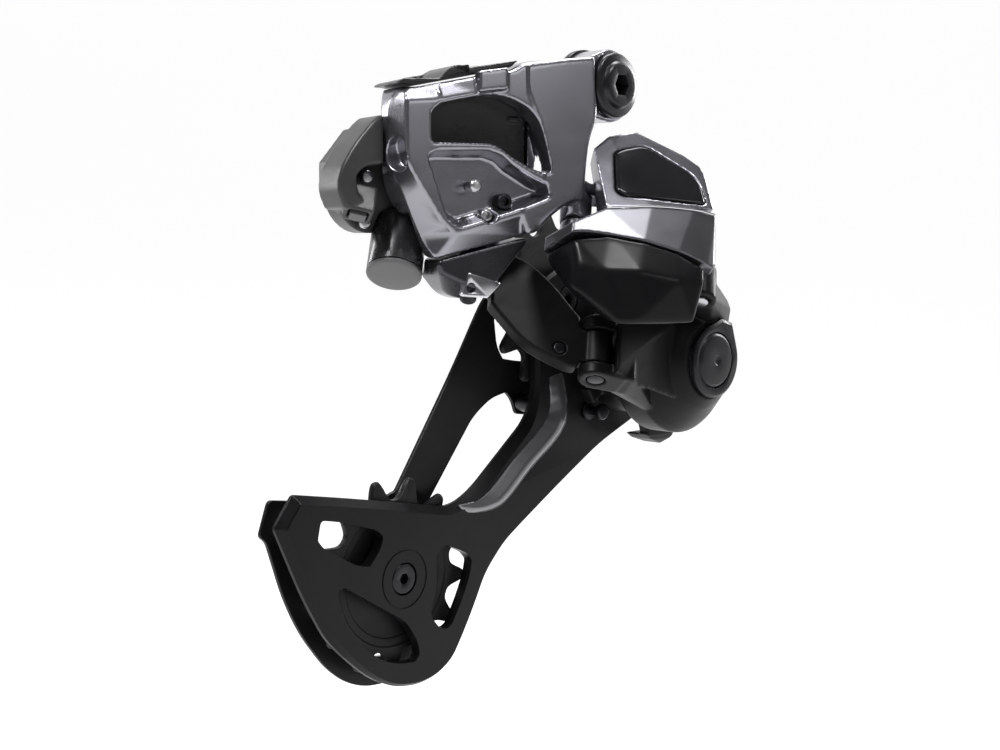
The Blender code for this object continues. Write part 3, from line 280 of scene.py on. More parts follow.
def ring_loft(loops):
    """Closed ring: the last loop joins the first."""
    n = len(loops[0])
    m = len(loops)
    verts = [p for lp in loops for p in lp]
    faces = []
    for k in range(m):
        a, b = k * n, ((k + 1) % m) * n
        for i in range(n):
            j = (i + 1) % n
            faces.append([a + i, a + j, b + j, b + i])
    return verts, faces


def hull(points):
    bm = bmesh.new()
    for p in points:
        bm.verts.new(p)
    bmesh.ops.remove_doubles(bm, verts=bm.verts[:], dist=0.001)
    out = bmesh.ops.convex_hull(bm, input=bm.verts[:])
    junk = [g for g in out["geom_interior"] + out["geom_unused"] if isinstance(g, bmesh.types.BMVert)]
    bmesh.ops.delete(bm, geom=list(set(junk)), context="VERTS")
    bm.verts.ensure_lookup_table()
    verts = [v.co.copy() for v in bm.verts]
    faces = [[v.index for v in f.verts] for f in bm.faces]
    bm.free()
    return verts, faces


def basis(axis):
    a = axis.normalized()
    h = Vector((0, 0, 1)) if abs(a.z) < 0.9 else Vector((1, 0, 0))
    u = h.cross(a).normalized()
    return a, u, a.cross(u)


def disc(c, axis, r, n=20, phase=0.0):
    n = n if n <= 8 else n * 2
    a, u, v = basis(axis)
    return [c + u * (r * cos(2 * pi * i / n + phase)) + v * (r * sin(2 * pi * i / n + phase)) for i in range(n)]


def cyl(c0, c1, r, n=20, r1=None):
    ax = c1 - c0
    return loft([disc(c0, ax, r, n), disc(c1, ax, r if r1 is None else r1, n)])


def lathe(profile, c, axis, n=24):
    """Solid of revolution; profile is (radius, height) from pole to pole."""
    n = n * 3
    a, u, v = basis(axis)
    verts, faces, rings = [], [], []
    for r, h in profile:
        if r < 1e-6:
            rings.append([len(verts)])
            verts.append(c + a * h)
        else:
            start = len(verts)
            for i in range(n):
                w = 2 * pi * i / n
                verts.append(c + a * h + u * (r * cos(w)) + v * (r * sin(w)))
            rings.append(list(range(start, start + n)))
    pairs = list(zip(rings, rings[1:]))
    if len(rings[0]) > 1 and len(rings[-1]) > 1:
        pairs.append((rings[-1], rings[0]))
    for p, q in pairs:
        for i in range(n):
            j = (i + 1) % n
            if len(p) == 1:
                faces.append([p[0], q[j], q[i]])
            elif len(q) == 1:
                faces.append([p[i], p[j], q[0]])
            else:
                faces.append([p[i], p[j], q[j], q[i]])
    return verts, faces


def face_prism(outline, t0, t1):
    outline = soft(outline)
    return loft([[F(s, z, t0) for s, z in outline], [F(s, z, t1) for s, z in outline]])


def link_prism(outline, y0, y1):
    outline = soft(outline)
    return loft([[K(x, y0, z) for x, z in outline], [K(x, y1, z) for x, z in outline]])


def side_prism(outline, y0, y1):
    outline = soft(outline)
    return loft([[W(x, y0, z) for x, z in outline], [W(x, y1, z) for x, z in outline]])


def link_cyl(xy, z0, z1, r, n=20):
    return cyl(K(xy[0], xy[1], z0), K(xy[0], xy[1], z1), r, n)


def side_cyl(xz, y0, y1, r, n=20):
    return cyl(W(xz[0], y0, xz[1]), W(xz[0], y1, xz[1]), r, n)


def inset(points, dist):
    """Move each corner of a polygon inward by its own distance."""
    n = len(points)
    area = sum(points[i][0] * points[(i + 1) % n][1] - points[(i + 1) % n][0] * points[i][1] for i in range(n))
    sign = 1.0 if area > 0 else -1.0
    out = []
    for i in range(n):
        (x0, z0), (x1, z1), (x2, z2) = points[i - 1], points[i], points[(i + 1) % n]
        ax, az = x1 - x0, z1 - z0
        bx, bz = x2 - x1, z2 - z1
        la, lb = hypot(ax, az), hypot(bx, bz)
        nx = -az / la - bz / lb
        nz = ax / la + bx / lb
        ln = hypot(nx, nz)
        nx, nz = nx / ln * sign, nz / ln * sign
        d = dist[i] if isinstance(dist, (list, tuple)) else dist
        out.append((x1 + nx * d, z1 + nz * d))
    return out


# pieces cast or forged in one: voxel size and smoothing passes
CAST = {
    "b_knuckle_body": (0.42, 7), "b_knuckle_tip": (0.36, 6), "motor_housing": (0.42, 6), "outer_link_body": (0.40, 7),
    "skid_plate": (0.45, 45), "inner_link_body": (0.36, 5), "p_knuckle_housing": (0.45, 7), "battery_cover": (0.36, 4),
    "battery_pack": (0.34, 4), "back_cover": (0.4, 4), "function_button": (0.22, 5),
}
EDGE = {"badge_panel": 0.25, "outer_plate": 0.22, "inner_plate": 0.2, "guide_pulley": 0.12, "tension_pulley": 0.12,
        "cage_spring": 0, "control_board": 0.1}
MADE = {}


def bar_slope():
    """Sloping top front of the body, from the window's upper lip to the cover."""
    rows = [(62.5, -8.0, -3.2, 2.3), (50.0, -6.9, -1.6, 2.2), (38.0, -4.5, 0.5, 1.6), (28.5, -3.2, 2.0, 0.35)]
    cuts = []
    for (s0, a0, b0, d0), (s1, a1, b1, d1) in zip(rows, rows[1:]):
        pts = []
        for s, a, b, d in ((s0, a0, b0, d0), (s1, a1, b1, d1)):
            k = (b + 1.0 - a) / (b - a)
            pts += [F(s, a, -1.5), F(s, a, -0.02), F(s, b + 1.0, -1.5), F(s, b + 1.0, d * k)]
        cuts.append(hull(pts))
    return cuts


def bolt_ring():
    c = W(TENSION_AXIS[0], 0, TENSION_AXIS[1])
    y0, y1 = OUTER_PLATE_Y0 - 1.0, OUTER_PLATE_Y0 + 0.28
    return [lathe([(8.25, y0), (8.85, y0), (8.85, y1), (8.25, y1)], c, Y_AXIS, 24)]


def pack_slot():
    return [hull([F(s, z, t) for s, z in ((23.2, -12.0), (18.2, -13.6), (18.5, -15.2), (23.5, -13.6)) for t in (2.0, 8.6)])]


MORE_ADDS = {}
MORE_CUTS = {"b_knuckle_body": bar_slope, "outer_plate": bolt_ring}


def raw(name, shape):
    me = mesh_of(name, [v * MM for v in shape[0]], shape[1])
    ob = bpy.data.objects.new(name, me)
    bpy.context.scene.collection.objects.link(ob)
    return ob


def baked(ob):
    """Apply every modifier and keep the result as the object's own mesh."""
    dg = bpy.context.evaluated_depsgraph_get()
    dg.update()
    me = bpy.data.meshes.new_from_object(ob.evaluated_get(dg))
    ob.modifiers.clear()
    old = ob.data
    ob.data = me
    bpy.data.meshes.remove(old)


FLAT = ("outer_plate", "inner_plate", "guide_pulley", "tension_pulley", "badge_panel", "control_board")


def finish_mesh(ob, cast=None, edge=0.2, crease=32, flat=False):
    if cast:
        size, passes = cast
        rm = ob.modifiers.new("cast", "REMESH")
        rm.mode = "VOXEL"
        rm.voxel_size = size * MM
        rm.use_smooth_shade = True
        sm = ob.modifiers.new("soften", "SMOOTH")
        sm.factor = 0.5
        sm.iterations = passes
        baked(ob)
        for p in ob.data.polygons:
            p.use_smooth = True
    else:
        if edge:
            bv = ob.modifiers.new("edge", "BEVEL")
            bv.width = edge * MM
            bv.segments = 2
            bv.limit_method = "ANGLE"
            bv.angle_limit = radians(crease)
            bv.use_clamp_overlap = True
            baked(ob)
        for p in ob.data.polygons:
            p.use_smooth = True
        ob.data.set_sharp_from_angle(angle=radians(12 if flat else crease))


def part(name, shape, finish, body, adds=(), cuts=(), smooth=None, node=True):
    ob = raw("vis_" + name, shape)
    adds = list(adds) + (MORE_ADDS[name]() if name in MORE_ADDS else [])
    cuts = list(cuts) + (MORE_CUTS[name]() if name in MORE_CUTS else [])
    tools = []
    for kind, group in (("UNION", adds), ("DIFFERENCE", cuts)):
        for i, shp in enumerate(group):
            tool = raw("tool_%s_%d_%s" % (name, i, kind), shp)
            tools.append(tool)
            mod = ob.modifiers.new("%s %d" % (kind, i), "BOOLEAN")
            mod.operation = kind
            mod.solver = "EXACT"
            mod.object = tool
    if tools:
        baked(ob)
        for tool in tools:
            me = tool.data
            bpy.data.objects.remove(tool, do_unlink=True)
            bpy.data.meshes.remove(me)
    assert len(ob.data.polygons) > 3, name
    finish_mesh(ob, CAST.get(name), EDGE.get(name, 0.18), flat=name in FLAT)
    assert len(ob.data.polygons) > 3, name
    ob.data.materials.clear()
    ob.data.materials.append(surface(LOOK.get(name, finish)))
    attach(ob, body)
    if node:
        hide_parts(name)
    MADE[name] = ob
    return ob


def extra(name, shape, finish, body, adds=(), cuts=(), cast=None, edge=0.15):
    """Fine detail with no CAD node of its own."""
    if cast:
        CAST[name] = cast
    EDGE[name] = edge
    return part(name, shape, finish, body, adds, cuts, node=False)


def hex_cut(c0, c1, across):
    return cyl(c0, c1, across / 2 / cos(pi / 6), 6)


# ---------------------------------------------------------------- bodies
ROOT, BKN, COV, BTN, OUT = "hanger_mount", "b_knuckle", "battery_cover", "function_button", "outer_link"
INN, PKN, CAG, GPU, TPU = "inner_link", "p_knuckle", "cage", "guide_pulley", "tension_pulley"
COVER_HINGE = F(41.0, 1.5, 21.2)
BUTTON_AT = F(70.6, -39.6, 11.5)

# ---------------------------------------------------------------- hanger mount
part("mount_bolt",
     lathe([(0, BOLT_HEAD_Y), (6.2, BOLT_HEAD_Y), (BOLT_HEAD_R, -16.0), (7.2, -15.2), (9.2, -14.9),
            (BOLT_FLANGE_R, -14.4), (BOLT_FLANGE_R, -12.9), (BOLT_JOURNAL_R, -12.9), (BOLT_JOURNAL_R, -2.3),
            (BOLT_THREAD_R, -2.3), (BOLT_THREAD_R, 9.2), (4.3, BOLT_END_Y), (0, BOLT_END_Y)],
           W(0, 0, 0), Y_AXIS, 24),
     "black_steel", ROOT, cuts=[hex_cut(W(0, -18, 0), W(0, -11.2, 0), HEX_6)], smooth=35)

part("stop_plate",
     lathe([(5.3, -2.0), (STOP_PLATE_R, -2.0), (STOP_PLATE_R, 0.0), (5.3, 0.0)], W(0, 0, 0), Y_AXIS, 32),
     "black_steel", ROOT,
     adds=[side_prism([(-6.5, -6.0), (-15.0, -7.5), (-17.0, -10.0), (-17.0, -14.0), (-12.0, -14.5), (-3.0, -9.8)], -1.9, -0.1)],
     smooth=35)

# ---------------------------------------------------------------- B knuckle
# (s, z) on the front face and (s, z, t) on the shoulder line behind it
BODY_FRONT = [(14.0, 5.6), (22.3, 4.5), (25.8, 2.2), (57.0, -4.2), (60.3, -4.5), (60.6, -9.0), (60.4, -24.5),
              (57.6, -29.0), (49.4, -41.4), (45.6, -44.4), (44.8, -44.9), (20.0, -38.6), (14.0, -36.6)]
BODY_SHOULDER = [(14.0, 6.2, 2), (22.0, 5.2, 2), (25.5, 2.8, 2), (56.2, -3.5, 3), (59.8, -3.1, 8), (62.2, -8.0, 9),
                 (62.2, -25.4, 9), (58.8, -30.6, 9), (55.2, -37.7, 9), (51.8, -47.3, 8), (49.6, -52.0, 4),
                 (18.0, -44.6, 3.5), (14.0, -40.6, 3)]
ARM = [(-2.0, 7.9), (10.0, 6.6), (22.0, 4.4), (22.0, -4.0), (17.0, -13.0), (16.0, -26.0), (16.5, -31.0), (24.0, -38.0),
       (21.5, -45.2), (17.6, -44.3), (13.4, -39.9), (7.1, -35.8), (1.5, -34.9), (0.8, -24.3), (-0.2, -16.9), (-3.0, -10.3)]
WINDOW = [(52.5, -18.9), (52.5, -10.4), (50.0, -8.0), (37.0, -5.3), (31.5, -4.9), (27.0, -5.6), (20.6, -8.2),
          (17.2, -12.2), (15.5, -17.3), (12.9, -27.2), (18.9, -26.1), (27.3, -22.0), (30.7, -19.5), (34.0, -18.7)]
POCKET = [(54.0, -22.4), (50.0, -21.0), (34.0, -20.6), (29.5, -21.9), (26.0, -24.7), (19.0, -28.4), (14.8, -30.2),
          (13.8, -34.0), (24.0, -37.6), (43.2, -42.8), (47.6, -40.2)]
CAVITY = [(16.6, -38.0), (53.0, -38.0), (54.5, -32.0), (54.5, -7.0), (52.0, -4.6), (52.0, 12.0), (16.6, 12.0)]

bf, bs = soft_pair(BODY_FRONT, BODY_SHOULDER, 2.2)
body_loops = [[F(s, z, 0.0) for s, z in bf], [F(s, z, t) for s, z, t in bs], [F(s, z, 20.0) for s, z, t in bs]]
arm_s = soft(ARM)
arm_loops = [[F(s, z, -0.4) for s, z in inset(arm_s, 0.8)], [F(s, z, 0.5) for s, z in arm_s], [F(s, z, 6.1) for s, z in arm_s]]
boss_hull = hull(disc(W(0, BOSS_Y0, 0), Y_AXIS, BOSS_R - 0.8, 28) + disc(W(0, BOSS_Y0 + 0.8, 0), Y_AXIS, BOSS_R, 28)
                 + disc(W(0, BOSS_Y1, 0), Y_AXIS, BOSS_R, 28)
                 + [F(1.5, 7.2, 0.3), F(1.5, -9.5, 0.3), F(1.5, 7.4, 5.6), F(1.5, -9.5, 5.6)])
outer_boss = hull(disc(K(B_OUTER[0], B_OUTER[1], 4.0), LINK_Z, 4.8) + disc(K(B_OUTER[0], B_OUTER[1], 13.0), LINK_Z, 4.8)
                  + [F(6.5, -35.5, 0.8), F(6.5, -28, 0.8), F(6.5, -35.5, 5.7), F(6.5, -28, 5.7)])
screw_ear = hull([F(s, z, t) for s in (13.6, 17.5) for z in (-15.5, -8.5) for t in (5.0, 12.5)])
inner_top = hull(disc(K(B_INNER[0], B_INNER[1], -4.4), LINK_Z, 6.3, 18) + disc(K(B_INNER[0], B_INNER[1], 4.1), LINK_Z, 6.3, 18)
                 + [F(34, -42, 8), F(24, -40, 8), F(34, -40, 16), F(24, -40, 16)])

CAN_BOTTOM = F(56.7, -55.9, 17.0)
CAN_R = 8.2


def can(h0, h1, r, n=28):
    return cyl(CAN_BOTTOM + LINK_Z * h0, CAN_BOTTOM + LINK_Z * h1, r, n)


pocket_cut = loft([[F(s, z, -1.2) for s, z in soft(inset(POCKET, -0.4), 1.2, 5, 8.0)], [F(s, z, 5.6) for s, z in soft(inset(POCKET, 1.9), 1.2, 5, 8.0)]])
rear_bore = cyl(F(58.0, -21.6, 5.6), F(72.0, -25.3, 5.2), 4.9, 22)
rear_bevel = hull([F(66.5, z, 6.5) for z in (-60, 12)] + [F(57.0, z, 22.0) for z in (-60, 12)] + [F(80, z, 22.0) for z in (-60, 12)]
                  + [F(80, z, 6.5) for z in (-60, 12)])
lower_rear = hull([F(s, z, t) for s in (43.0, 70.0) for z in (-60.0, -38.8) for t in (11.0, 24.0)])

part("b_knuckle_body", loft(body_loops), "polished_grey", BKN,
     adds=[loft(arm_loops), boss_hull, outer_boss, inner_top, screw_ear],
     cuts=[face_prism(WINDOW, -3, 8.3),
           face_prism(CAVITY, 7.8, 26),
           pocket_cut,
           rear_bevel,
           lower_rear,
           rear_bore,
           cyl(W(0, -20, 0), W(0, 5, 0), BOLT_JOURNAL_R + GAP, 32),
           cyl(W(0, -30, 0), W(0, BOSS_Y0 + 0.12, 0), BOLT_FLANGE_R + 0.68, 30),
           can(-8, 18.5, CAN_R + 0.4),
           cyl(F(33.6, -39.4, 5.4), F(33.6, -39.4, -3), 2.25, 15), cyl(F(27.6, -35.4, 5.4), F(27.6, -35.4, -3), 2.75, 15),
           link_cyl(B_OUTER, -12, 24, PIN_BORE_R),
           link_cyl(B_OUTER, -10, 3.7, EYE_CLEAR_R),
           link_cyl(B_OUTER, 13.1, 18.2, EYE_CLEAR_R),
           link_cyl(B_INNER, -30, 14, PIN_BORE_R),
           link_cyl(B_INNER, -30, -4.7, EYE_CLEAR_R),
           cyl(F(16.3, -12.0, 8.6) - W(1.4, 0, 0), F(16.3, -12.0, 8.6) + W(20, 0, 0), 1.8, 14)],
     smooth=30)

TIP = [(49.2, -52.5), (48.6, -56.2), (43.6, -62.2), (39.2, -63.9), (34.6, -63.8), (30.0, -60.2), (28.0, -57.5),
       (22.3, -51.0), (17.8, -45.4)]
tip_front, TIP = soft_pair(inset(TIP, [0.2, 1.0, 1.2, 1.2, 1.2, 1.0, 0.6, 0.6, 0.2]), TIP, 1.6)
# the tip takes a darker copy of the knuckle grey, which paints the shade it sits in
part("b_knuckle_tip",
     loft([[F(s, z, 3.2) for s, z in tip_front], [F(s, z, 4.4) for s, z in TIP], [F(s, z, 17.0) for s, z in TIP]]),
     "dark_grey_metal", BKN,
     cuts=[link_cyl(B_INNER, -20.2, 10, EYE_CLEAR_R), can(-8, 18, CAN_R + 0.4),
           link_cyl(B_INNER, -40, 12, PIN_BORE_R),
           hull([K(x, y, z) for x in (-20.6, 60) for y in (9.6, 70) for z in (-20.2, 30)]),
           hull([K(x, y, z) for x in (-13.4, 60) for y in (9.6, 70) for z in (-60, 30)]),
           hull([K(x, y, z) for x in (-70, 60) for y in (-60, 60) for z in (-60, -23.4)])],
     smooth=30)

BATTERY = [(17.2, -37.4), (52.3, -37.4), (53.8, -31.5), (53.8, -7.4), (51.3, -5.2), (51.3, -3.0), (27.0, 1.8), (17.2, 2.4)]
BATTERY = soft(BATTERY)
part("battery_pack", loft([[F(s, z, 8.2) for s, z in inset(BATTERY, 0.9)], [F(s, z, 9.1) for s, z in BATTERY],
                           [F(s, z, 17.2) for s, z in BATTERY]]), "satin_black", BKN,
     adds=[hull([F(s, z, t) for s in (20.2, 23.4) for z in (-11.9, -10.5) for t in (7.4, 9.0)])])
part("control_board", face_prism([(20, -35), (50, -35), (50, -8), (20, -8)], 17.6, 18.8), "board_green", BKN)
BACK = soft([(15.2, -35.6), (54.0, -35.6), (55.6, -31), (55.6, -8), (52.5, -5.0), (26.0, 0.4), (15.2, 0.6)])
part("back_cover", loft([[F(s, z, 20.3) for s, z in BACK], [F(s, z, 21.4) for s, z in BACK],
                         [F(s, z, 22.1) for s, z in inset(BACK, 0.7)]]), "satin_black", BKN)

# motor unit at the rear inboard corner
COVER_OUT = [(62.9, -10.4), (65.8, -12.4), (72.1, -19.5), (76.4, -26.7), (77.4, -32.2), (75.2, -37.6), (69.0, -38.8),
             (67.4, -36.6), (71.0, -33.6), (71.4, -28.4), (68.5, -25.6), (62.9, -25.0)]
COVER_OUT = soft(COVER_OUT)
H2 = [(45.0, -13.0), (66.0, -14.0), (74.0, -24.0), (74.0, -33.0), (70.0, -41.0), (65.0, -44.6), (47.0, -44.6), (45.0, -40.0)]
def button_box(hx, hy, h0, h1):
    return hull([BUTTON_AT + LINK_X * x + LINK_Y * y + LINK_Z * h for x in (-hx, hx) for y in (-hy, hy) for h in (h0, h1)])


part("motor_housing", loft([[F(s, z, 9.6) for s, z in inset(COVER_OUT, 0.7)], [F(s, z, 10.4) for s, z in COVER_OUT],
                            [F(s, z, 25.0) for s, z in COVER_OUT]]), "satin_black", BKN,
     adds=[face_prism(H2, 22.5, 32.0),
           hull(disc(CAN_BOTTOM + LINK_Z * 17.0, LINK_Z, 9.4, 24) + disc(CAN_BOTTOM + LINK_Z * 22.0, LINK_Z, 9.4, 24)),
           button_box(4.2, 3.4, 0.0, 9.0)],
     cuts=[hull([F(s, z, t) for s in (30, 62.7) for z in (-70, 20) for t in (-5, 22.4)]),
           can(-5, 17.2, CAN_R + GAP),
           button_box(2.9, 2.1, -2.0, 3.0)], smooth=30)
part("motor_can", can(0.0, 16.9, CAN_R), "satin_black", BKN, smooth=30)
part("motor_can_cap", lathe([(0, -1.6), (7.4, -1.6), (CAN_R, -1.1), (CAN_R, -0.3), (0, -0.3)], CAN_BOTTOM, LINK_Z, 28),
     "cap_grey", BKN, smooth=30)
GEARBOX = [(20.0, -36.5), (43.6, -36.5), (43.6, -46.0), (36.0, -50.0), (22.0, -50.0), (18.0, -44.0)]
part("drive_gearbox", loft([[F(s, z, 22.5) for s, z in GEARBOX], [F(s, z, 29.5) for s, z in GEARBOX],
                            [F(s, z, 31.0) for s, z in inset(GEARBOX, 1.5)]]), "dark_grey_metal", BKN,
     cuts=[link_cyl(B_INNER, -10, 40, PIN_BORE_R), link_cyl(B_INNER, -30, 4.9, 6.8), can(-5, 30, 9.9)])

part("b_tension_screw", cyl(F(16.3, -12.0, 8.6) + W(0, 0, 0), W(-17.4, F(16.3, -12.0, 8.6).y, -12.0), 1.5, 14), "steel", BKN)


def pocket_screw(s, z, r, socket):
    c = F(s, z, 5.1)
    top = c - FACE_T * 3.0
    return (lathe([(0, 0), (r, 0), (r, 2.5), (r - 0.4, 3.0), (socket, 3.0), (socket, 1.4), (0, 1.4)], c, -FACE_T, 16))


# screws standing on the pocket floor, and the limit pin beside them
part("pocket_screw_bright", pocket_screw(33.6, -39.4, 1.9, 1.0), "steel", BKN, smooth=35)
part("pocket_screw_dark", pocket_screw(27.6, -35.4, 2.4, 1.2), "black_steel", BKN, smooth=35)
part("limit_pin", lathe([(0, 0), (1.4, 0), (1.4, 3.2), (1.9, 3.6), (1.9, 4.6), (1.2, 5.3), (0, 5.3)], F(38.2, -31.0, 5.3), -FACE_T, 16),
     "steel", BKN, smooth=35)
for tag, s, z in (("a", 64.5, -34.0), ("b", 64.2, -41.4), ("c", 63.4, -28.2)):
    part("motor_bolt_" + tag, lathe([(0, 0), (1.9, 0), (1.9, 1.8), (1.5, 2.2), (0, 2.2)], F(s, z, 22.2), -FACE_T, 14),
         "steel", BKN, smooth=35)
part("outer_link_pin_b", link_cyl(B_OUTER, -1.6, 18.4, PIN_R), "steel", BKN, smooth=35)
part("inner_link_pin_b", lathe([(0, -23.9), (2.0, -23.9), (PIN_R, -23.4), (PIN_R, 8.0), (0, 8.0)],
                               K(B_INNER[0], B_INNER[1], 0), LINK_Z, 20), "black_steel", BKN, smooth=35)

# ---------------------------------------------------------------- battery cover
COVER_SECTION = [(62.4, -2.6), (60.0, -1.2), (48.6, -0.8), (46.2, 1.8), (43.6, 3.3), (41.6, 3.4), (40.0, 2.6), (25.6, 5.2),
                 (23.2, 5.6), (23.2, 5.4), (25.7, 3.3), (56.3, -3.1), (59.9, -2.75)]
COVER_SECTION = soft(COVER_SECTION)
cover_knuckle = hull([F(s, z, t) for s, z in ((52.0, -1.4), (28.0, 3.6), (52.0, 0.6), (28.0, 5.4)) for t in (18.0, 21.6)])
part("battery_cover", loft([[F(s, z, 2.4) for s, z in COVER_SECTION], [F(s, z, 19.6) for s, z in COVER_SECTION]]),
     "satin_black", COV, adds=[cover_knuckle])

# ---------------------------------------------------------------- function button
part("function_button", button_box(2.42, 1.62, -0.8, 1.5), "cap_grey", BTN)

# ---------------------------------------------------------------- outer link
FRAME_FRONT = [(8.2, -9.0, 24.3), (12.8, -8.6, 30.6), (21.4, -8.0, 35.6), (24.6, -8.0, 34.8), (37.8, -8.0, 31.2),
               (42.8, -8.4, 28.2), (44.6, -8.8, 24.8), (46.4, -11.4, 11.0), (26.0, -12.2, 5.6), (12.2, -11.6, 1.8)]
frame_block = hull([K(*p) for p in FRAME_FRONT] + [K(x + (1.0 if x < 20 else -0.6), -2.2, z - 0.8) for x, y, z in FRAME_FRONT]
                   + [K(x, y + 1.2, z + 0.5) for x, y, z in FRAME_FRONT])
BAND_TOP = [(2.4, -11.0, -5.6), (11.8, -12.6, 0.8), (25.5, -13.4, 4.6), (39.0, -13.0, 7.4), (46.6, -11.6, 8.6)]
BAND_BOTTOM = [(2.2, -10.8, -10.4), (13.2, -12.6, -8.0), (23.5, -13.6, -8.0), (34.5, -13.2, -8.4), (44.0, -11.8, -9.7), (46.6, -10.6, -9.8)]
band_block = hull([K(*p) for p in BAND_TOP + BAND_BOTTOM] + [K(4.5, -4.5, -5.0), K(4.5, -4.5, -8.9), K(45.0, -2.2, -8.9), K(45.5, -2.2, 7.6),
                   K(47.6, -6.5, 6.5), K(47.4, -6.0, -9.0),
                   K(-1.5, 3.0, -3.4), K(-1.6, 3.0, -8.2), K(1.5, 5.0, -2.4), K(1.5, 5.0, -8.2), K(16.0, 4.6, -1.6)])
MAIN = [(14.2, -8.6), (14.2, 17.0), (16.5, 28.5), (22.0, 32.0), (39.0, 27.5), (42.5, 20.0), (42.5, -8.6)]
lug_p = hull(disc(K(P_OUTER[0], P_OUTER[1], -1.0), LINK_Z, 4.6) + disc(K(P_OUTER[0], P_OUTER[1], 15.5), LINK_Z, 4.6)
             + [K(41.0, -1.6, -1.0), K(41.0, 5.0, -1.0), K(41.0, -1.6, 15.5), K(41.0, 5.0, 15.5)])


def ear_b(z0, z1):
    return hull(disc(K(B_OUTER[0], B_OUTER[1], z0), LINK_Z, EYE_R) + disc(K(B_OUTER[0], B_OUTER[1], z1), LINK_Z, EYE_R)
                + [K(15.5, 0.2, z0), K(15.5, 4.8, z0), K(15.5, 0.2, z1), K(15.5, 4.8, z1)])


BADGE = [(14.6, 24.0), (17.0, 26.2), (23.0, 29.6), (25.8, 29.6), (39.6, 23.6), (42.4, 19.4), (43.8, 12.2), (33.0, 10.2), (17.6, 7.8), (15.2, 9.0)]


BADGE = soft(BADGE, 1.6)


def badge_point(x, z, lift):
    # front face leans from y=-8 at the top to y=-12 at the trim line
    y = -8.0 - (35.0 - z) * 0.135
    return K(x, y - lift, z)


badge_hole = loft([[badge_point(x, z, 3.0) for x, z in inset(BADGE, -0.3)], [badge_point(x, z, -2.2) for x, z in inset(BADGE, -0.3)]])
SKID_TOP = [(3.0, -10.4, -10.9), (13.2, -12.6, -8.5), (23.5, -13.6, -8.5), (34.5, -13.2, -9.1), (43.6, -11.4, -10.9)]
SKID_BACK = [(-1.6, 3.0, -9.2), (2.0, 5.0, -9.2), (14.0, 4.6, -10.1), (40.0, 3.4, -10.1), (43.2, -4.4, -10.8)]
skid_room = hull([K((x - 23) * 1.2 + 23, y + dy, z + dz) for x, y, z in SKID_TOP for dy in (0, -4) for dz in (0.45, -16)]
                 + [K((x - 23) * 1.2 + 23, y, z + 0.45) for x, y, z in SKID_BACK])
part("outer_link_body", link_prism(MAIN, -2.6, 4.6), "polished_grey", OUT,
     adds=[frame_block, band_block, lug_p, ear_b(-0.4, 3.3), ear_b(13.5, 17.6)],
     cuts=[badge_hole, skid_room,
           link_cyl(B_OUTER, -12, 30, PIN_BORE_R),
           link_cyl(P_OUTER, -12, 30, 3.9),
           link_cyl(B_OUTER, 3.6, 13.2, 5.4),
           hull([K(x, y, z) for x in (36, 60) for y in (-2.0, 20) for z in (-20, -1.2)])],
     smooth=30)
part("badge_panel", loft([[badge_point(x, z, 0.5) for x, z in inset(BADGE, 0.6)], [badge_point(x, z, 0.0) for x, z in BADGE],
                          [badge_point(x, z, -1.8) for x, z in BADGE]]), "gloss_black", OUT)
part("outer_link_bush", lathe([(2.8, -1.0), (3.6, -1.0), (3.6, 15.5), (2.8, 15.5)], K(P_OUTER[0], P_OUTER[1], 0), LINK_Z, 20),
     "bronze", OUT, smooth=35)
SKID_MID = [(5.0, -10.0, -19.0), (12.0, -12.6, -21.0), (22.0, -14.2, -19.5), (35.0, -13.4, -18.5), (44.4, -9.6, -16.0)]
SKID_LOW = [(-0.3, 3.0, -11.8), (4.4, 3.0, -17.6), (8.7, 3.0, -22.1), (4.6, -6.0, -25.0), (13.5, -6.6, -30.0), (19.0, -6.0, -33.6), (24.0, -6.6, -32.6), (43.0, -5.4, -27.0)]
part("skid_plate", hull([K(*p) for p in SKID_TOP + SKID_MID + SKID_LOW]
                        + [K(*p) for p in SKID_BACK] + [K(18, 1.5, -28), K(38, 1.5, -24.5), K(11, 0.5, -22)]),
     "matte_black", OUT,
     cuts=[hull([K(x, y, z) for x in (36, 60) for y in (-4.0, 20) for z in (-40, 0)])], smooth=25)

# ---------------------------------------------------------------- inner link
INNER_PLATE_OUT = [(-20.6, -19.9), (-14.0, -19.9), (-14.0, -24.0), (-3.3, -34.6), (5.2, -37.8), (11.4, -39.4), (14.0, -39.2), (14.5, -36.8), (20.4, -36.75),
                   (20.4, -26.0), (14.1, -26.0), (14.1, -22.0), (12.0, -20.0), (4.0, -11.5), (-6.3, -5.0), (-20.6, -5.0)]
INNER_PLATE_OUT = soft(INNER_PLATE_OUT)
part("inner_link_body", loft([[K(x, 12.4, z) for x, z in inset(INNER_PLATE_OUT, 0.5)],
                              [K(x, 13.0, z) for x, z in INNER_PLATE_OUT], [K(x, 17.2, z) for x, z in INNER_PLATE_OUT]]), "matte_black", INN,
     adds=[link_cyl(B_INNER, -20.0, -5.1, EYE_R, 24), link_cyl(P_INNER, -36.7, -26.1, EYE_R, 24)],
     cuts=[link_cyl(B_INNER, -40, 20, PIN_BORE_R), link_cyl(P_INNER, -60, 0, OPEN_BORE_R),
           cyl(K(8.0, 11.0, -34.0), K(8.0, 14.4, -34.0), 2.2, 16)], smooth=30)
part("inner_link_screw", lathe([(0, 0), (1.9, 0), (1.9, 1.2), (1.5, 1.6), (0, 1.6)], K(8.0, 14.1, -34.0), -LINK_Y, 16), "black_steel", INN, smooth=35)

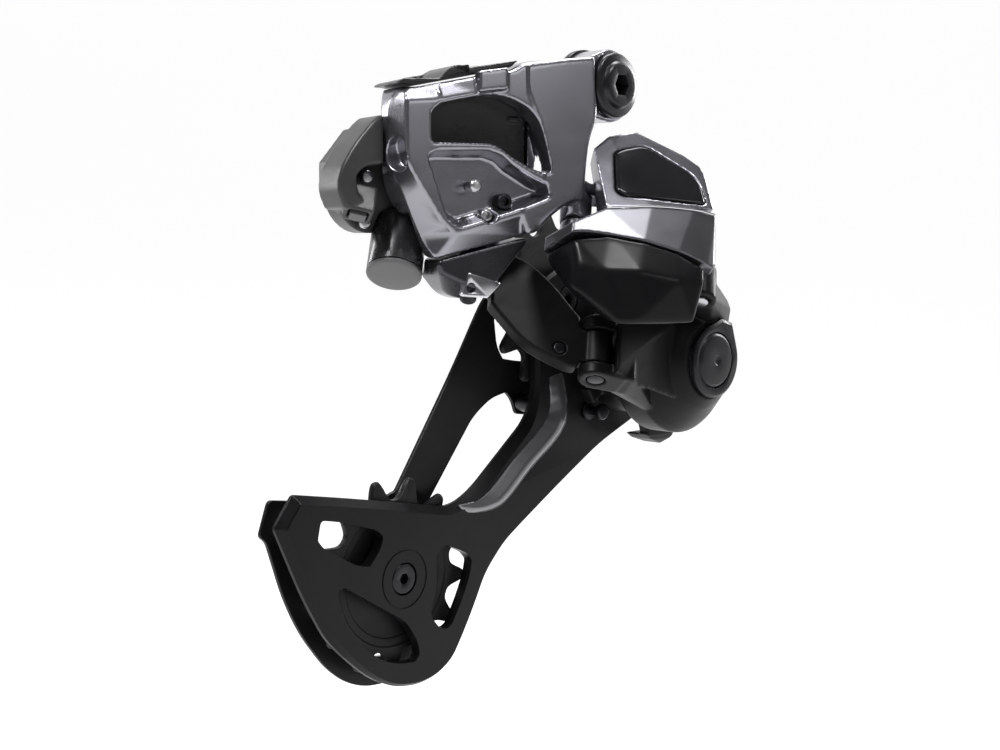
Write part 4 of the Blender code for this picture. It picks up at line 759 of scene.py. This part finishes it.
# ---------------------------------------------------------------- P knuckle
DRUM_C = W(CAGE_AXIS[0], 0, CAGE_AXIS[1])
drum = lathe([(0, -30.6), (12.6, -30.6), (15.6, -28.4), (22.6, -21.6), (DRUM_R, -19.8), (DRUM_R, -10.9), (23.2, -10.0),
              (NECK_R, -9.6), (NECK_R, 5.6), (0, 5.6)], DRUM_C, Y_AXIS, 32)
ear_out = hull(disc(K(P_OUTER[0], P_OUTER[1], -13.0), LINK_Z, 5.0) + disc(K(P_OUTER[0], P_OUTER[1], -1.6), LINK_Z, 5.0)
               + [K(53.0, 5.0, -13.0), K(53.0, 5.0, -1.6)])
front_web = hull([K(24.2, 6.6, -40.4), K(24.2, 9.2, -40.4), K(24.2, 6.6, -24.0), K(24.2, 9.2, -24.0), K(31.0, 12.0, -41.0), K(31.0, 12.0, -23.0)]
                 + [W(8, -24.0, -76), W(7, -23.5, -92), W(14, -26.5, -72), W(14, -27.5, -96), W(22, -20, -64), W(12, -16, -70)])
arm_out = hull(disc(K(P_OUTER[0], P_OUTER[1], -12.9), LINK_Z, 4.8) + [K(50.5, 2.0, -13.0), K(46.6, 7.0, -13.0), K(53.2, 5.0, -13.0), K(50.0, 7.6, -1.8), K(53.0, 4.5, -1.8), K(47.0, 7.0, -1.8),
                W(34.7, -28, -63.6), W(40.0, -28, -66.0), W(42.6, -27.5, -69.0), W(42.0, -27, -74.0), W(28, -18, -62), W(38, -13, -64),
                W(24, -14, -63), W(22, -24, -70), W(30, -28.5, -74)])
web_in = hull([K(x, y, z) for x in (26.2, 31.0) for y in (10.0, 19.6) for z in (-40.8, -21.4)]
              + [W(8, -18.5, -72), W(8, -11.5, -72), W(7, -18.5, -96), W(7, -11.5, -96), W(16, -18.5, -102), W(16, -11.5, -66)])


def ear_in(z0, z1):
    return hull(disc(K(P_INNER[0], P_INNER[1], z0), LINK_Z, 5.3) + disc(K(P_INNER[0], P_INNER[1], z1), LINK_Z, 5.3)
                + [K(28.5, y, z) for y in (10.2, 19.4) for z in (z0, z1)])


tab_a = hull([W(x, y, z) for x, z in ((25, -101), (40, -101), (29, -111.2), (41, -111.2)) for y in (-5.4, -1.6)])
tab_b = hull([W(x, y, -110.4) for x in (28, 43) for y in (-5.0, 4.2)] + [W(x, y, -112.4) for x in (31, 42) for y in (-5.0, 4.2)]
             + [W(38.0, y, -114.6) for y in (-3.0, 4.2)])
stop_lug = hull([DRUM_C + W(r * cos(radians(a)), y, r * sin(radians(a))) for r in (17.8, 24.4) for a in (204, 218) for y in (0.6, 4.6)])
TEAR = disc(W(CAGE_AXIS[0] + 0.8, 0, CAGE_AXIS[1] - 0.3), Y_AXIS, 11.6, 28) + [W(31.0, 0, -71.6), W(36.6, 0, -73.0)]


def tear(scale, y):
    c = W(CAGE_AXIS[0], 0, CAGE_AXIS[1])
    return [c + (p - c) * scale + W(0, y, 0) for p in TEAR]


part("p_knuckle_housing", drum, "matte_black", PKN,
     adds=[arm_out, ear_out, web_in, front_web, ear_in(-41.2, -37.2), ear_in(-25.7, -21.0), tab_a, tab_b, stop_lug],
     cuts=[hull(tear(1.04, -48) + tear(1.04, -30.5)),
           link_cyl(P_OUTER, -30, 20, PIN_BORE_R), link_cyl(P_INNER, -60, -10, PIN_BORE_R),
           side_cyl(CAGE_AXIS, -40, -18.5, 10.3, 32), side_cyl(CAGE_AXIS, -25, 3, 6.6, 32), side_cyl(CAGE_AXIS, -7.5, 20, 16.8, 32)],
     smooth=30)
part("clutch_cover", hull(tear(0.93, -32.8) + tear(1.0, -32.2) + tear(1.0, -30.9)), "satin_black", PKN,
     cuts=[side_cyl(CAGE_AXIS, -40, -20, 8.9, 28)], smooth=30)
part("clutch_cap", lathe([(0, -33.0), (1.2, -33.1), (1.6, -33.5), (7.6, -33.3), (8.6, -32.5), (8.6, -30.9), (0, -30.9)], DRUM_C, Y_AXIS, 28),
     "satin_black", PKN, smooth=30)
part("clutch_unit", lathe([(6.7, -30.3), (10.0, -30.3), (10.0, -18.9), (6.7, -18.9)], DRUM_C, Y_AXIS, 24), "steel", PKN, smooth=35)


def spring(c, r, wire, y0, y1, turns, steps, sides):
    pts = []
    for i in range(steps + 1):
        w = 2 * pi * turns * i / steps
        centre = c + W(r * cos(w), y0 + (y1 - y0) * i / steps, r * sin(w))
        tangent = W(-r * sin(w) * 2 * pi * turns, (y1 - y0), r * cos(w) * 2 * pi * turns).normalized()
        n1 = W(cos(w), 0, sin(w))
        n2 = tangent.cross(n1).normalized()
        pts.append([centre + n1 * (wire * cos(2 * pi * k / sides)) + n2 * (wire * sin(2 * pi * k / sides)) for k in range(sides)])
    return loft(pts)


part("cage_spring", spring(DRUM_C, 12.0, 1.0, -5.6, 4.0, 3.5, 42, 5), "steel", PKN, smooth=60)
part("outer_link_pin_p", link_cyl(P_OUTER, -13.6, 16.2, PIN_R), "steel", PKN, smooth=35)
part("inner_link_pin_p", link_cyl(P_INNER, -41.0, -20.6, PIN_R), "black_steel", PKN, smooth=35)

# ---------------------------------------------------------------- cage
OUTER_PLATE = [(-106.4, -115.3, 2.4), (-112.9, -123.8, 2.4), (-103.4, -144.5, 2.2), (-95.8, -157.4, 2.0), (-90.5, -163.0, 1.5),
               (-83.3, -169.4, 1.2), (-77.5, -173.4, 1.0), (-70.9, -176.4, 0.9), (-61.8, -177.8, 0.9), (-53.8, -176.4, 0.9),
               (-47.6, -172.6, 0.9), (-41.8, -163.8, 0.9), (-37.5, -156.3, 0.9), (-33.5, -148.6, 0.9), (-25.5, -140.6, 0.9),
               (-18.7, -136.4, 0.9), (0.0, -125.4, 0.9), (19.8, -114.4, 0.9), (30.2, -110.2, 0.9), (41.0, -106.0, 0.9),
               (49.5, -97.0, 0.9), (52.6, -86.0, 0.9), (50.8, -75.0, 0.9), (43.0, -65.0, 0.9), (28.0, -58.0, 0.9), (12.0, -54.6, 0.9),
               (1.5, -54.8, 0.9), (-6.5, -59.0, 0.9), (-9.8, -68.0, 0.9), (-10.4, -82.0, 0.9), (-10.6, -95.6, 1.2), (-14.4, -103.4, 2.6),
               (-36.5, -121.0, 3.0), (-40.8, -123.6, 3.0), (-45.1, -125.4, 2.6), (-50.0, -126.0, 2.4), (-84.4, -119.2, 2.2)]
OUTER_PLATE = soft(OUTER_PLATE, 1.8)
op_xy = [(x, z) for x, z, d in OUTER_PLATE]
op_in = inset(op_xy, [d for x, z, d in OUTER_PLATE])
WIN_A = [(-98.5, -123.2), (-91.8, -124.5), (-78.2, -128.7), (-75.7, -131.0), (-76.7, -134.4), (-80.9, -139.0), (-85.8, -137.9), (-97.6, -131.2), (-99.7, -128.7)]
WIN_B = [(-93.1, -144.1), (-90.2, -143.4), (-69.6, -155.9), (-66.5, -158.3), (-62.5, -164.4), (-61.8, -168.5), (-63.8, -170.2),
         (-69.7, -169.6), (-75.5, -167.7), (-83.1, -162.6), (-88.6, -156.3), (-92.1, -149.4)]
WIN_C = [(-55.5, -141.0), (-53.4, -138.3), (-51.0, -137.2), (-47.2, -138.7), (-42.1, -141.0), (-40.0, -143.5), (-40.9, -148.0),
         (-44.3, -155.1), (-48.6, -162.0), (-50.7, -162.8), (-53.6, -162.0), (-56.8, -158.3), (-57.2, -155.8), (-55.1, -150.1), (-54.7, -145.7)]
STOP_PIN_AT = (13.1, -102.2)
SPACER_AT = (-7.6, -98.6)


def window(outline):
    return side_prism(outline, 2, 30)


part("outer_plate", loft([[W(x, OUTER_PLATE_Y0, z) for x, z in op_in],
                          [W(x, OUTER_PLATE_Y0 + min(2.6, 0.55 + 0.72 * d), z) for x, z, d in OUTER_PLATE],
                          [W(x, OUTER_PLATE_Y1, z) for x, z in op_xy]]), "satin_black", CAG,
     cuts=[window(WIN_A), window(WIN_B), window(WIN_C),
           side_cyl(TENSION_AXIS, 4, 9.7, 4.9, 24), side_cyl(TENSION_AXIS, 4, 20, 2.7, 20),
           side_cyl(GUIDE_AXIS, 4, 9.7, 4.9, 24), side_cyl(GUIDE_AXIS, 4, 20, 2.7, 20),
           side_cyl(CAGE_AXIS, 4, 20, 4.3, 20), side_cyl(STOP_PIN_AT, 4, 20, 1.9, 16)], smooth=20)

INNER_PLATE = [(-108.2, -117.6), (-111.6, -127.4), (-109.2, -129.4), (-103.5, -146.4), (-97.7, -157.7), (-88.8, -169.1), (-81.4, -174.9),
               (-73.7, -177.8), (-62.0, -178.4), (-54.6, -176.6), (-49.6, -171.0), (-46.4, -162.0), (-46.6, -150.0), (-47.6, -135.0),
               (-49.1, -126.8), (-29.8, -102.5), (-26.3, -99.7), (-20.9, -96.4), (-14.1, -95.0), (-11.2, -97.8), (-9.4, -102.4), (-4.6, -103.0),
               (2.0, -100.0), (8.5, -92.0), (12.5, -82.0), (14.5, -70.0), (12.0, -60.0), (3.4, -55.6), (-8.0, -56.6), (-18.0, -60.6),
               (-24.0, -65.0), (-27.6, -70.4), (-37.6, -86.4), (-61.3, -120.8), (-70.0, -123.2)]
IN_HOLE = [(-19.6, -71.0), (-18.4, -80.0), (-15.6, -84.2), (-10.0, -85.2), (-4.3, -85.8), (-3.8, -81.0), (-7.0, -75.0), (-12.0, -69.0)]
INNER_PLATE = soft(INNER_PLATE, 1.8)
part("inner_plate", loft([[W(x, INNER_PLATE_Y0, z) for x, z in INNER_PLATE], [W(x, INNER_PLATE_Y1 - 0.5, z) for x, z in INNER_PLATE],
                          [W(x, INNER_PLATE_Y1, z) for x, z in inset(INNER_PLATE, 0.5)]]), "satin_black", CAG,
     cuts=[window(WIN_A), window(WIN_B), window(IN_HOLE), side_cyl(TENSION_AXIS, 4, 30, 2.7, 20), side_cyl(GUIDE_AXIS, 4, 30, 2.7, 20),
           side_cyl(SPACER_AT, 4, 30, 1.9, 16)], smooth=20)

part("cage_axle", lathe([(0, -26.5), (5.8, -26.5), (6.2, -26.0), (6.2, 6.0), (18.0, 6.0), (18.0, 7.7), (4.0, 7.7), (4.0, 10.8), (0, 10.8)],
                        DRUM_C, Y_AXIS, 28), "steel", CAG, smooth=35)
part("stop_pin", lathe([(0, 0.6), (2.2, 0.6), (2.6, 1.0), (2.6, 2.4), (1.5, 2.8), (1.5, 6.7), (3.0, 6.7), (3.0, 7.7), (1.6, 7.7), (1.6, 11.2), (0, 11.2)],
                       W(STOP_PIN_AT[0], 0, STOP_PIN_AT[1]), Y_AXIS, 20), "black_steel", CAG, smooth=35)
part("cage_spacer", lathe([(0, 11.7), (3.0, 11.7), (3.0, 18.1), (1.6, 18.1), (1.6, 20.0), (0, 20.0)], W(SPACER_AT[0], 0, SPACER_AT[1]), Y_AXIS, 18),
     "black_steel", CAG, smooth=35)


def pulley_bolt(name, at):
    part(name, lathe([(0, 8.1), (4.2, 8.1), (4.6, 8.5), (4.6, 9.4), (2.4, 9.4), (2.4, 20.6), (0, 20.6)], W(at[0], 0, at[1]), Y_AXIS, 24),
         "black_steel", CAG, cuts=[hex_cut(W(at[0], 6, at[1]), W(at[0], 10.6, at[1]), 3.0)], smooth=35)


def pulley_bush(name, at):
    part(name, lathe([(2.75, 11.7), (4.6, 11.7), (4.6, 18.1), (2.75, 18.1)], W(at[0], 0, at[1]), Y_AXIS, 20), "steel", CAG, smooth=35)


pulley_bolt("guide_bolt", GUIDE_AXIS)
pulley_bolt("tension_bolt", TENSION_AXIS)
pulley_bush("guide_bush", GUIDE_AXIS)
pulley_bush("tension_bush", TENSION_AXIS)


def tooth_outline(phase):
    """Roller seats between slim, blunt teeth."""
    pts = []
    step = 2 * pi / TEETH
    prof = [(-0.50, ROOT_R), (-0.42, ROOT_R + 0.05), (-0.34, ROOT_R + 0.45), (-0.27, ROOT_R + 1.4), (-0.21, ROOT_R + 2.9), (-0.155, ROOT_R + 4.6),
            (-0.105, TIP_R - 0.75), (-0.075, TIP_R - 0.2), (-0.035, TIP_R - 0.02)]
    prof = prof + [(-a, r) for a, r in reversed(prof[1:])]
    for i in range(TEETH):
        c = radians(phase) + i * step
        for da, r in prof:
            pts.append((r * cos(c + da * step), r * sin(c + da * step)))
    return pts


def pulley(name, at, parent, phase):
    out = tooth_outline(phase)

    def at_y(points, y, k=1.0, slim=1.0):
        res = []
        for x, z in points:
            r = hypot(x, z)
            rr = r if r < ROOT_R + 1.5 else ROOT_R + 1.5 + (r - ROOT_R - 1.5) * slim
            rr *= k
            res.append(W(at[0] + x / r * rr, y, at[1] + z / r * rr))
        return res

    def circle(r, y):
        return [W(at[0] + r * x / hypot(x, z), y, at[1] + r * z / hypot(x, z)) for x, z in out]

    m = (PULLEY_Y0 + PULLEY_Y1) / 2
    loops = [at_y(out, m - 1.08, 0.997, 0.88), circle(20.9, m - 1.08), circle(20.5, m - 0.66), circle(18.4, m - 0.66), circle(18.1, m - 0.4), circle(9.8, m - 0.4), circle(9.2, m - 1.08),
             circle(7.4, m - 1.08), circle(7.4, m + 1.08), circle(9.2, m + 1.08), circle(9.6, m + 0.62), circle(20.0, m + 0.62),
             circle(20.6, m + 1.08), at_y(out, m + 1.08, 0.997, 0.88), at_y(out, m + 0.45), at_y(out, m - 0.45)]
    part(name, ring_loft(loops), "satin_black", parent, smooth=35)


pulley("guide_pulley", GUIDE_AXIS, GPU, GUIDE_PHASE)
pulley("tension_pulley", TENSION_AXIS, TPU, TENSION_PHASE)
for nm, at, par in (("guide_bearing", GUIDE_AXIS, GPU), ("tension_bearing", TENSION_AXIS, TPU)):
    part(nm, lathe([(4.9, 11.8), (6.4, 11.8), (7.1, 12.4), (7.1, 17.4), (6.4, 18.0), (4.9, 18.0)], W(at[0], 0, at[1]), Y_AXIS, 24), "steel", par, smooth=35)

# ---------------------------------------------------------------- fine detail
def grown(points, c, k):
    return [c + (p - c) * k for p in points]


def tube(points, r, n=8):
    """A closed bar of round section through the points."""
    loops = []
    for i, p in enumerate(points):
        a = points[max(0, i - 1)]
        b = points[min(len(points) - 1, i + 1)]
        t = (b - a).normalized()
        u = t.cross(Vector((0, 0, 1))).normalized()
        v = t.cross(u)
        loops.append([p + u * (r * cos(2 * pi * k / n)) + v * (r * sin(2 * pi * k / n)) for k in range(n)])
    return loft(loops)


def smooth_line(points, steps=6):
    """Catmull-Rom curve through the points."""
    out = []
    for i in range(len(points) - 1):
        p0, p1, p2, p3 = points[max(0, i - 1)], points[i], points[i + 1], points[min(len(points) - 1, i + 2)]
        for j in range(steps):
            t = j / steps
            out.append(0.5 * ((2 * p1) + (p2 - p0) * t + (2 * p0 - 5 * p1 + 4 * p2 - p3) * t * t + (3 * p1 - p0 - 3 * p2 + p3) * t ** 3))
    out.append(points[-1])
    return out


# charcoal band below the frame, a skin over the casting
extra("link_band", (lambda v: (grown(v[0], K(24, -4, -1), 1.010), v[1]))(band_block), "band_charcoal", OUT,
      cuts=[skid_room, link_cyl(B_OUTER, -12, 30, PIN_BORE_R), link_cyl(P_OUTER, -12, 30, 3.9), link_cyl(B_OUTER, 3.6, 13.2, 5.4),
            hull([K(x, y, z) for x in (36, 60) for y in (-2.2, 20) for z in (-20, -1.0)])],
      cast=(0.34, 5))
line = smooth_line([K(x, y - 0.05, z + 0.25) for x, y, z in BAND_TOP[1:]])
extra("link_trim_line", tube(line, 0.34), "bright_trim_and_painted_highlight", OUT, edge=0)

# long ridge along the cage arm, its upper flank a wide soft slope; its grey over the black plate is a painted highlight
bar_a = [(-45.5, -126.0), (-35.0, -124.4), (-22.0, -114.4), (-6.0, -101.8), (-7.0, -88.0)]
bar_b = [(-43.0, -129.0), (-27.8, -128.8), (-14.0, -119.0), (3.0, -105.6), (1.5, -88.0)]
line_a = smooth_line([Vector((x, 0, z)) for x, z in bar_a], 5)
line_b = smooth_line([Vector((x, 0, z)) for x, z in bar_b], 5)
ridge = []
for i, (a, b) in enumerate(zip(line_a, line_b)):
    e = min(1.0, min(i, len(line_a) - 1 - i) / 5)
    top = OUTER_PLATE_Y0 + 0.25 - 1.95 * e
    base, deep = OUTER_PLATE_Y0 + 0.05, OUTER_PLATE_Y0 + 1.4
    m1, m2 = a.lerp(b, 0.52), a.lerp(b, 0.72)
    ridge.append([W(a.x, deep, a.z), W(a.x, base, a.z), W(m1.x, top, m1.z), W(m2.x, top, m2.z), W(b.x, base, b.z), W(b.x, deep, b.z)])
extra("arm_ridge", loft(ridge), "ridge_painted_highlight", CAG, cast=(0.34, 14))

# bright corner of the tip round the screw hole; its silver colour is a painted highlight
facet = soft([(39.4, -55.8), (28.1, -59.2), (32.8, -63.6), (41.4, -62.9)], 1.0)
extra("tip_facet", loft([[F(s, z, 2.95) for s, z in inset(facet, 0.35)], [F(s, z, 3.2) for s, z in facet], [F(s, z, 5.6) for s, z in facet]]),
      "bright_trim_and_painted_highlight", BKN, cuts=[cyl(F(38.6, -60.4, 0), F(38.6, -60.4, 8), 1.5, 14)], edge=0.1)
extra("tip_screw", loft([disc(F(38.6, -60.4, 3.9), FACE_T, 1.3, 12), disc(F(38.6, -60.4, 5.0), FACE_T, 1.3, 12)]), "black_steel", BKN, edge=0.1)
extra("cover_grip", hull([F(s, z, t) for s, z in ((38.7, 1.2), (44.4, 0.2), (43.9, 2.9), (39.3, 3.6)) for t in (2.4, 8.5)]), "matte_black", COV, edge=0.5)

# ---------------------------------------------------------------- floor, light and camera
floor_me = bpy.data.meshes.new("floor")
rows = []
for i in range(0, 41):
    a = i / 40
    # a floor that sweeps up behind the object
    if a < 0.5:
        rows.append((-1.2 + a * 2 * 2.7, 0.0))
    else:
        w = (a - 0.5) * 2 * pi / 2
        rows.append((1.5 + 1.2 * sin(w), 1.2 * (1 - cos(w))))
ahead = Vector((0.7193, 0.6947, 0.0))
side = Vector((0.6947, -0.7193, 0.0))
bm = bmesh.new()
left, right = [], []
FLOOR_Z = -0.300
for d, h in rows:
    p = ahead * d + Vector((0, 0, FLOOR_Z + h))
    left.append(bm.verts.new(p - side * 3.0))
    right.append(bm.verts.new(p + side * 3.0))
top = 2.6
p = ahead * (1.5 + 1.2) + Vector((0, 0, FLOOR_Z + 1.2 + top))
left.append(bm.verts.new(p - side * 3.0))
right.append(bm.verts.new(p + side * 3.0))
for i in range(len(left) - 1):
    bm.faces.new([left[i], right[i], right[i + 1], left[i + 1]])
bm.to_mesh(floor_me)
bm.free()
for p in floor_me.polygons:
    p.use_smooth = True
floor = bpy.data.objects.new("floor", floor_me)
bpy.context.scene.collection.objects.link(floor)
fm = bpy.data.materials.new("floor_white")
fm.use_nodes = True
fb = fm.node_tree.nodes["Principled BSDF"]
fb.inputs["Roughness"].default_value = 0.9
fb.inputs["Specular IOR Level"].default_value = 0.1
fb.inputs["Emission Color"].default_value = (1, 1, 1, 1)
fb.inputs["Emission Strength"].default_value = 0.86
fn = fm.node_tree.nodes.new("ShaderNodeTexNoise")
fn.inputs["Scale"].default_value = 8.0
fr = fm.node_tree.nodes.new("ShaderNodeValToRGB")
fr.color_ramp.elements[0].color = (0.32, 0.32, 0.32, 1)
fr.color_ramp.elements[1].color = (0.36, 0.36, 0.36, 1)
fm.node_tree.links.new(fn.outputs["Fac"], fr.inputs["Fac"])
fm.node_tree.links.new(fr.outputs["Color"], fb.inputs["Base Color"])
floor_me.materials.append(fm)


def softbox(name, at, aim, size, power, ratio=1.0):
    li = bpy.data.lights.new(name, "AREA")
    li.shape = "RECTANGLE"
    li.size = size
    li.size_y = size * ratio
    li.energy = power
    ob = bpy.data.objects.new(name, li)
    bpy.context.scene.collection.objects.link(ob)
    d = (Vector(aim) - Vector(at)).normalized()
    ob.matrix_world = Matrix.Translation(Vector(at)) @ d.to_track_quat("-Z", "Y").to_matrix().to_4x4()
    return ob


R = Vector((0.694658, -0.719340, 0.0))
U = Vector((0.068946, 0.066580, 0.995396))
A = Vector((0.716028, 0.691460, -0.095846))
MID = Vector((-0.025, 0.0, -0.08))


def rel(r, u, a):
    return MID + R * r + U * u + A * a


softbox("key_left_top", rel(-0.36, 0.66, -0.42), MID, 0.30, 6.0, 0.7)
softbox("top_back", rel(0.10, 0.75, 0.25), MID, 0.50, 6.0, 0.5)
softbox("upper_right", rel(0.30, 0.66, -0.34), MID, 0.20, 2.6, 0.8)
softbox("right_strip", rel(0.62, 0.30, 0.42), MID, 0.14, 4.0, 3.0)
softbox("left_strip", rel(-0.60, 0.20, 0.30), MID, 0.10, 1.2, 3.0)
softbox("front_fill", rel(0.55, 0.20, -0.42), MID, 0.16, 0.22, 1.0)

world = bpy.data.worlds.new("studio")
world.use_nodes = True
world.node_tree.nodes["Background"].inputs["Color"].default_value = (1, 1, 1, 1)
world.node_tree.nodes["Background"].inputs["Strength"].default_value = 0.12
bpy.context.scene.world = world
bpy.context.scene.view_settings.view_transform = "Standard"

cam_data = bpy.data.cameras.new("camera")
cam_data.lens = 54.0
cam_data.sensor_width = 36.0
cam_data.clip_start = 0.01
cam_data.clip_end = 20.0
cam = bpy.data.objects.new("camera", cam_data)
bpy.context.scene.collection.objects.link(cam)
cam.matrix_world = Matrix(((R.x, U.x, -A.x, -0.356634), (R.y, U.y, -A.y, -0.309586), (R.z, U.z, -A.z, -0.043837), (0, 0, 0, 1)))
bpy.context.scene.camera = cam

bpy.context.view_layer.update()
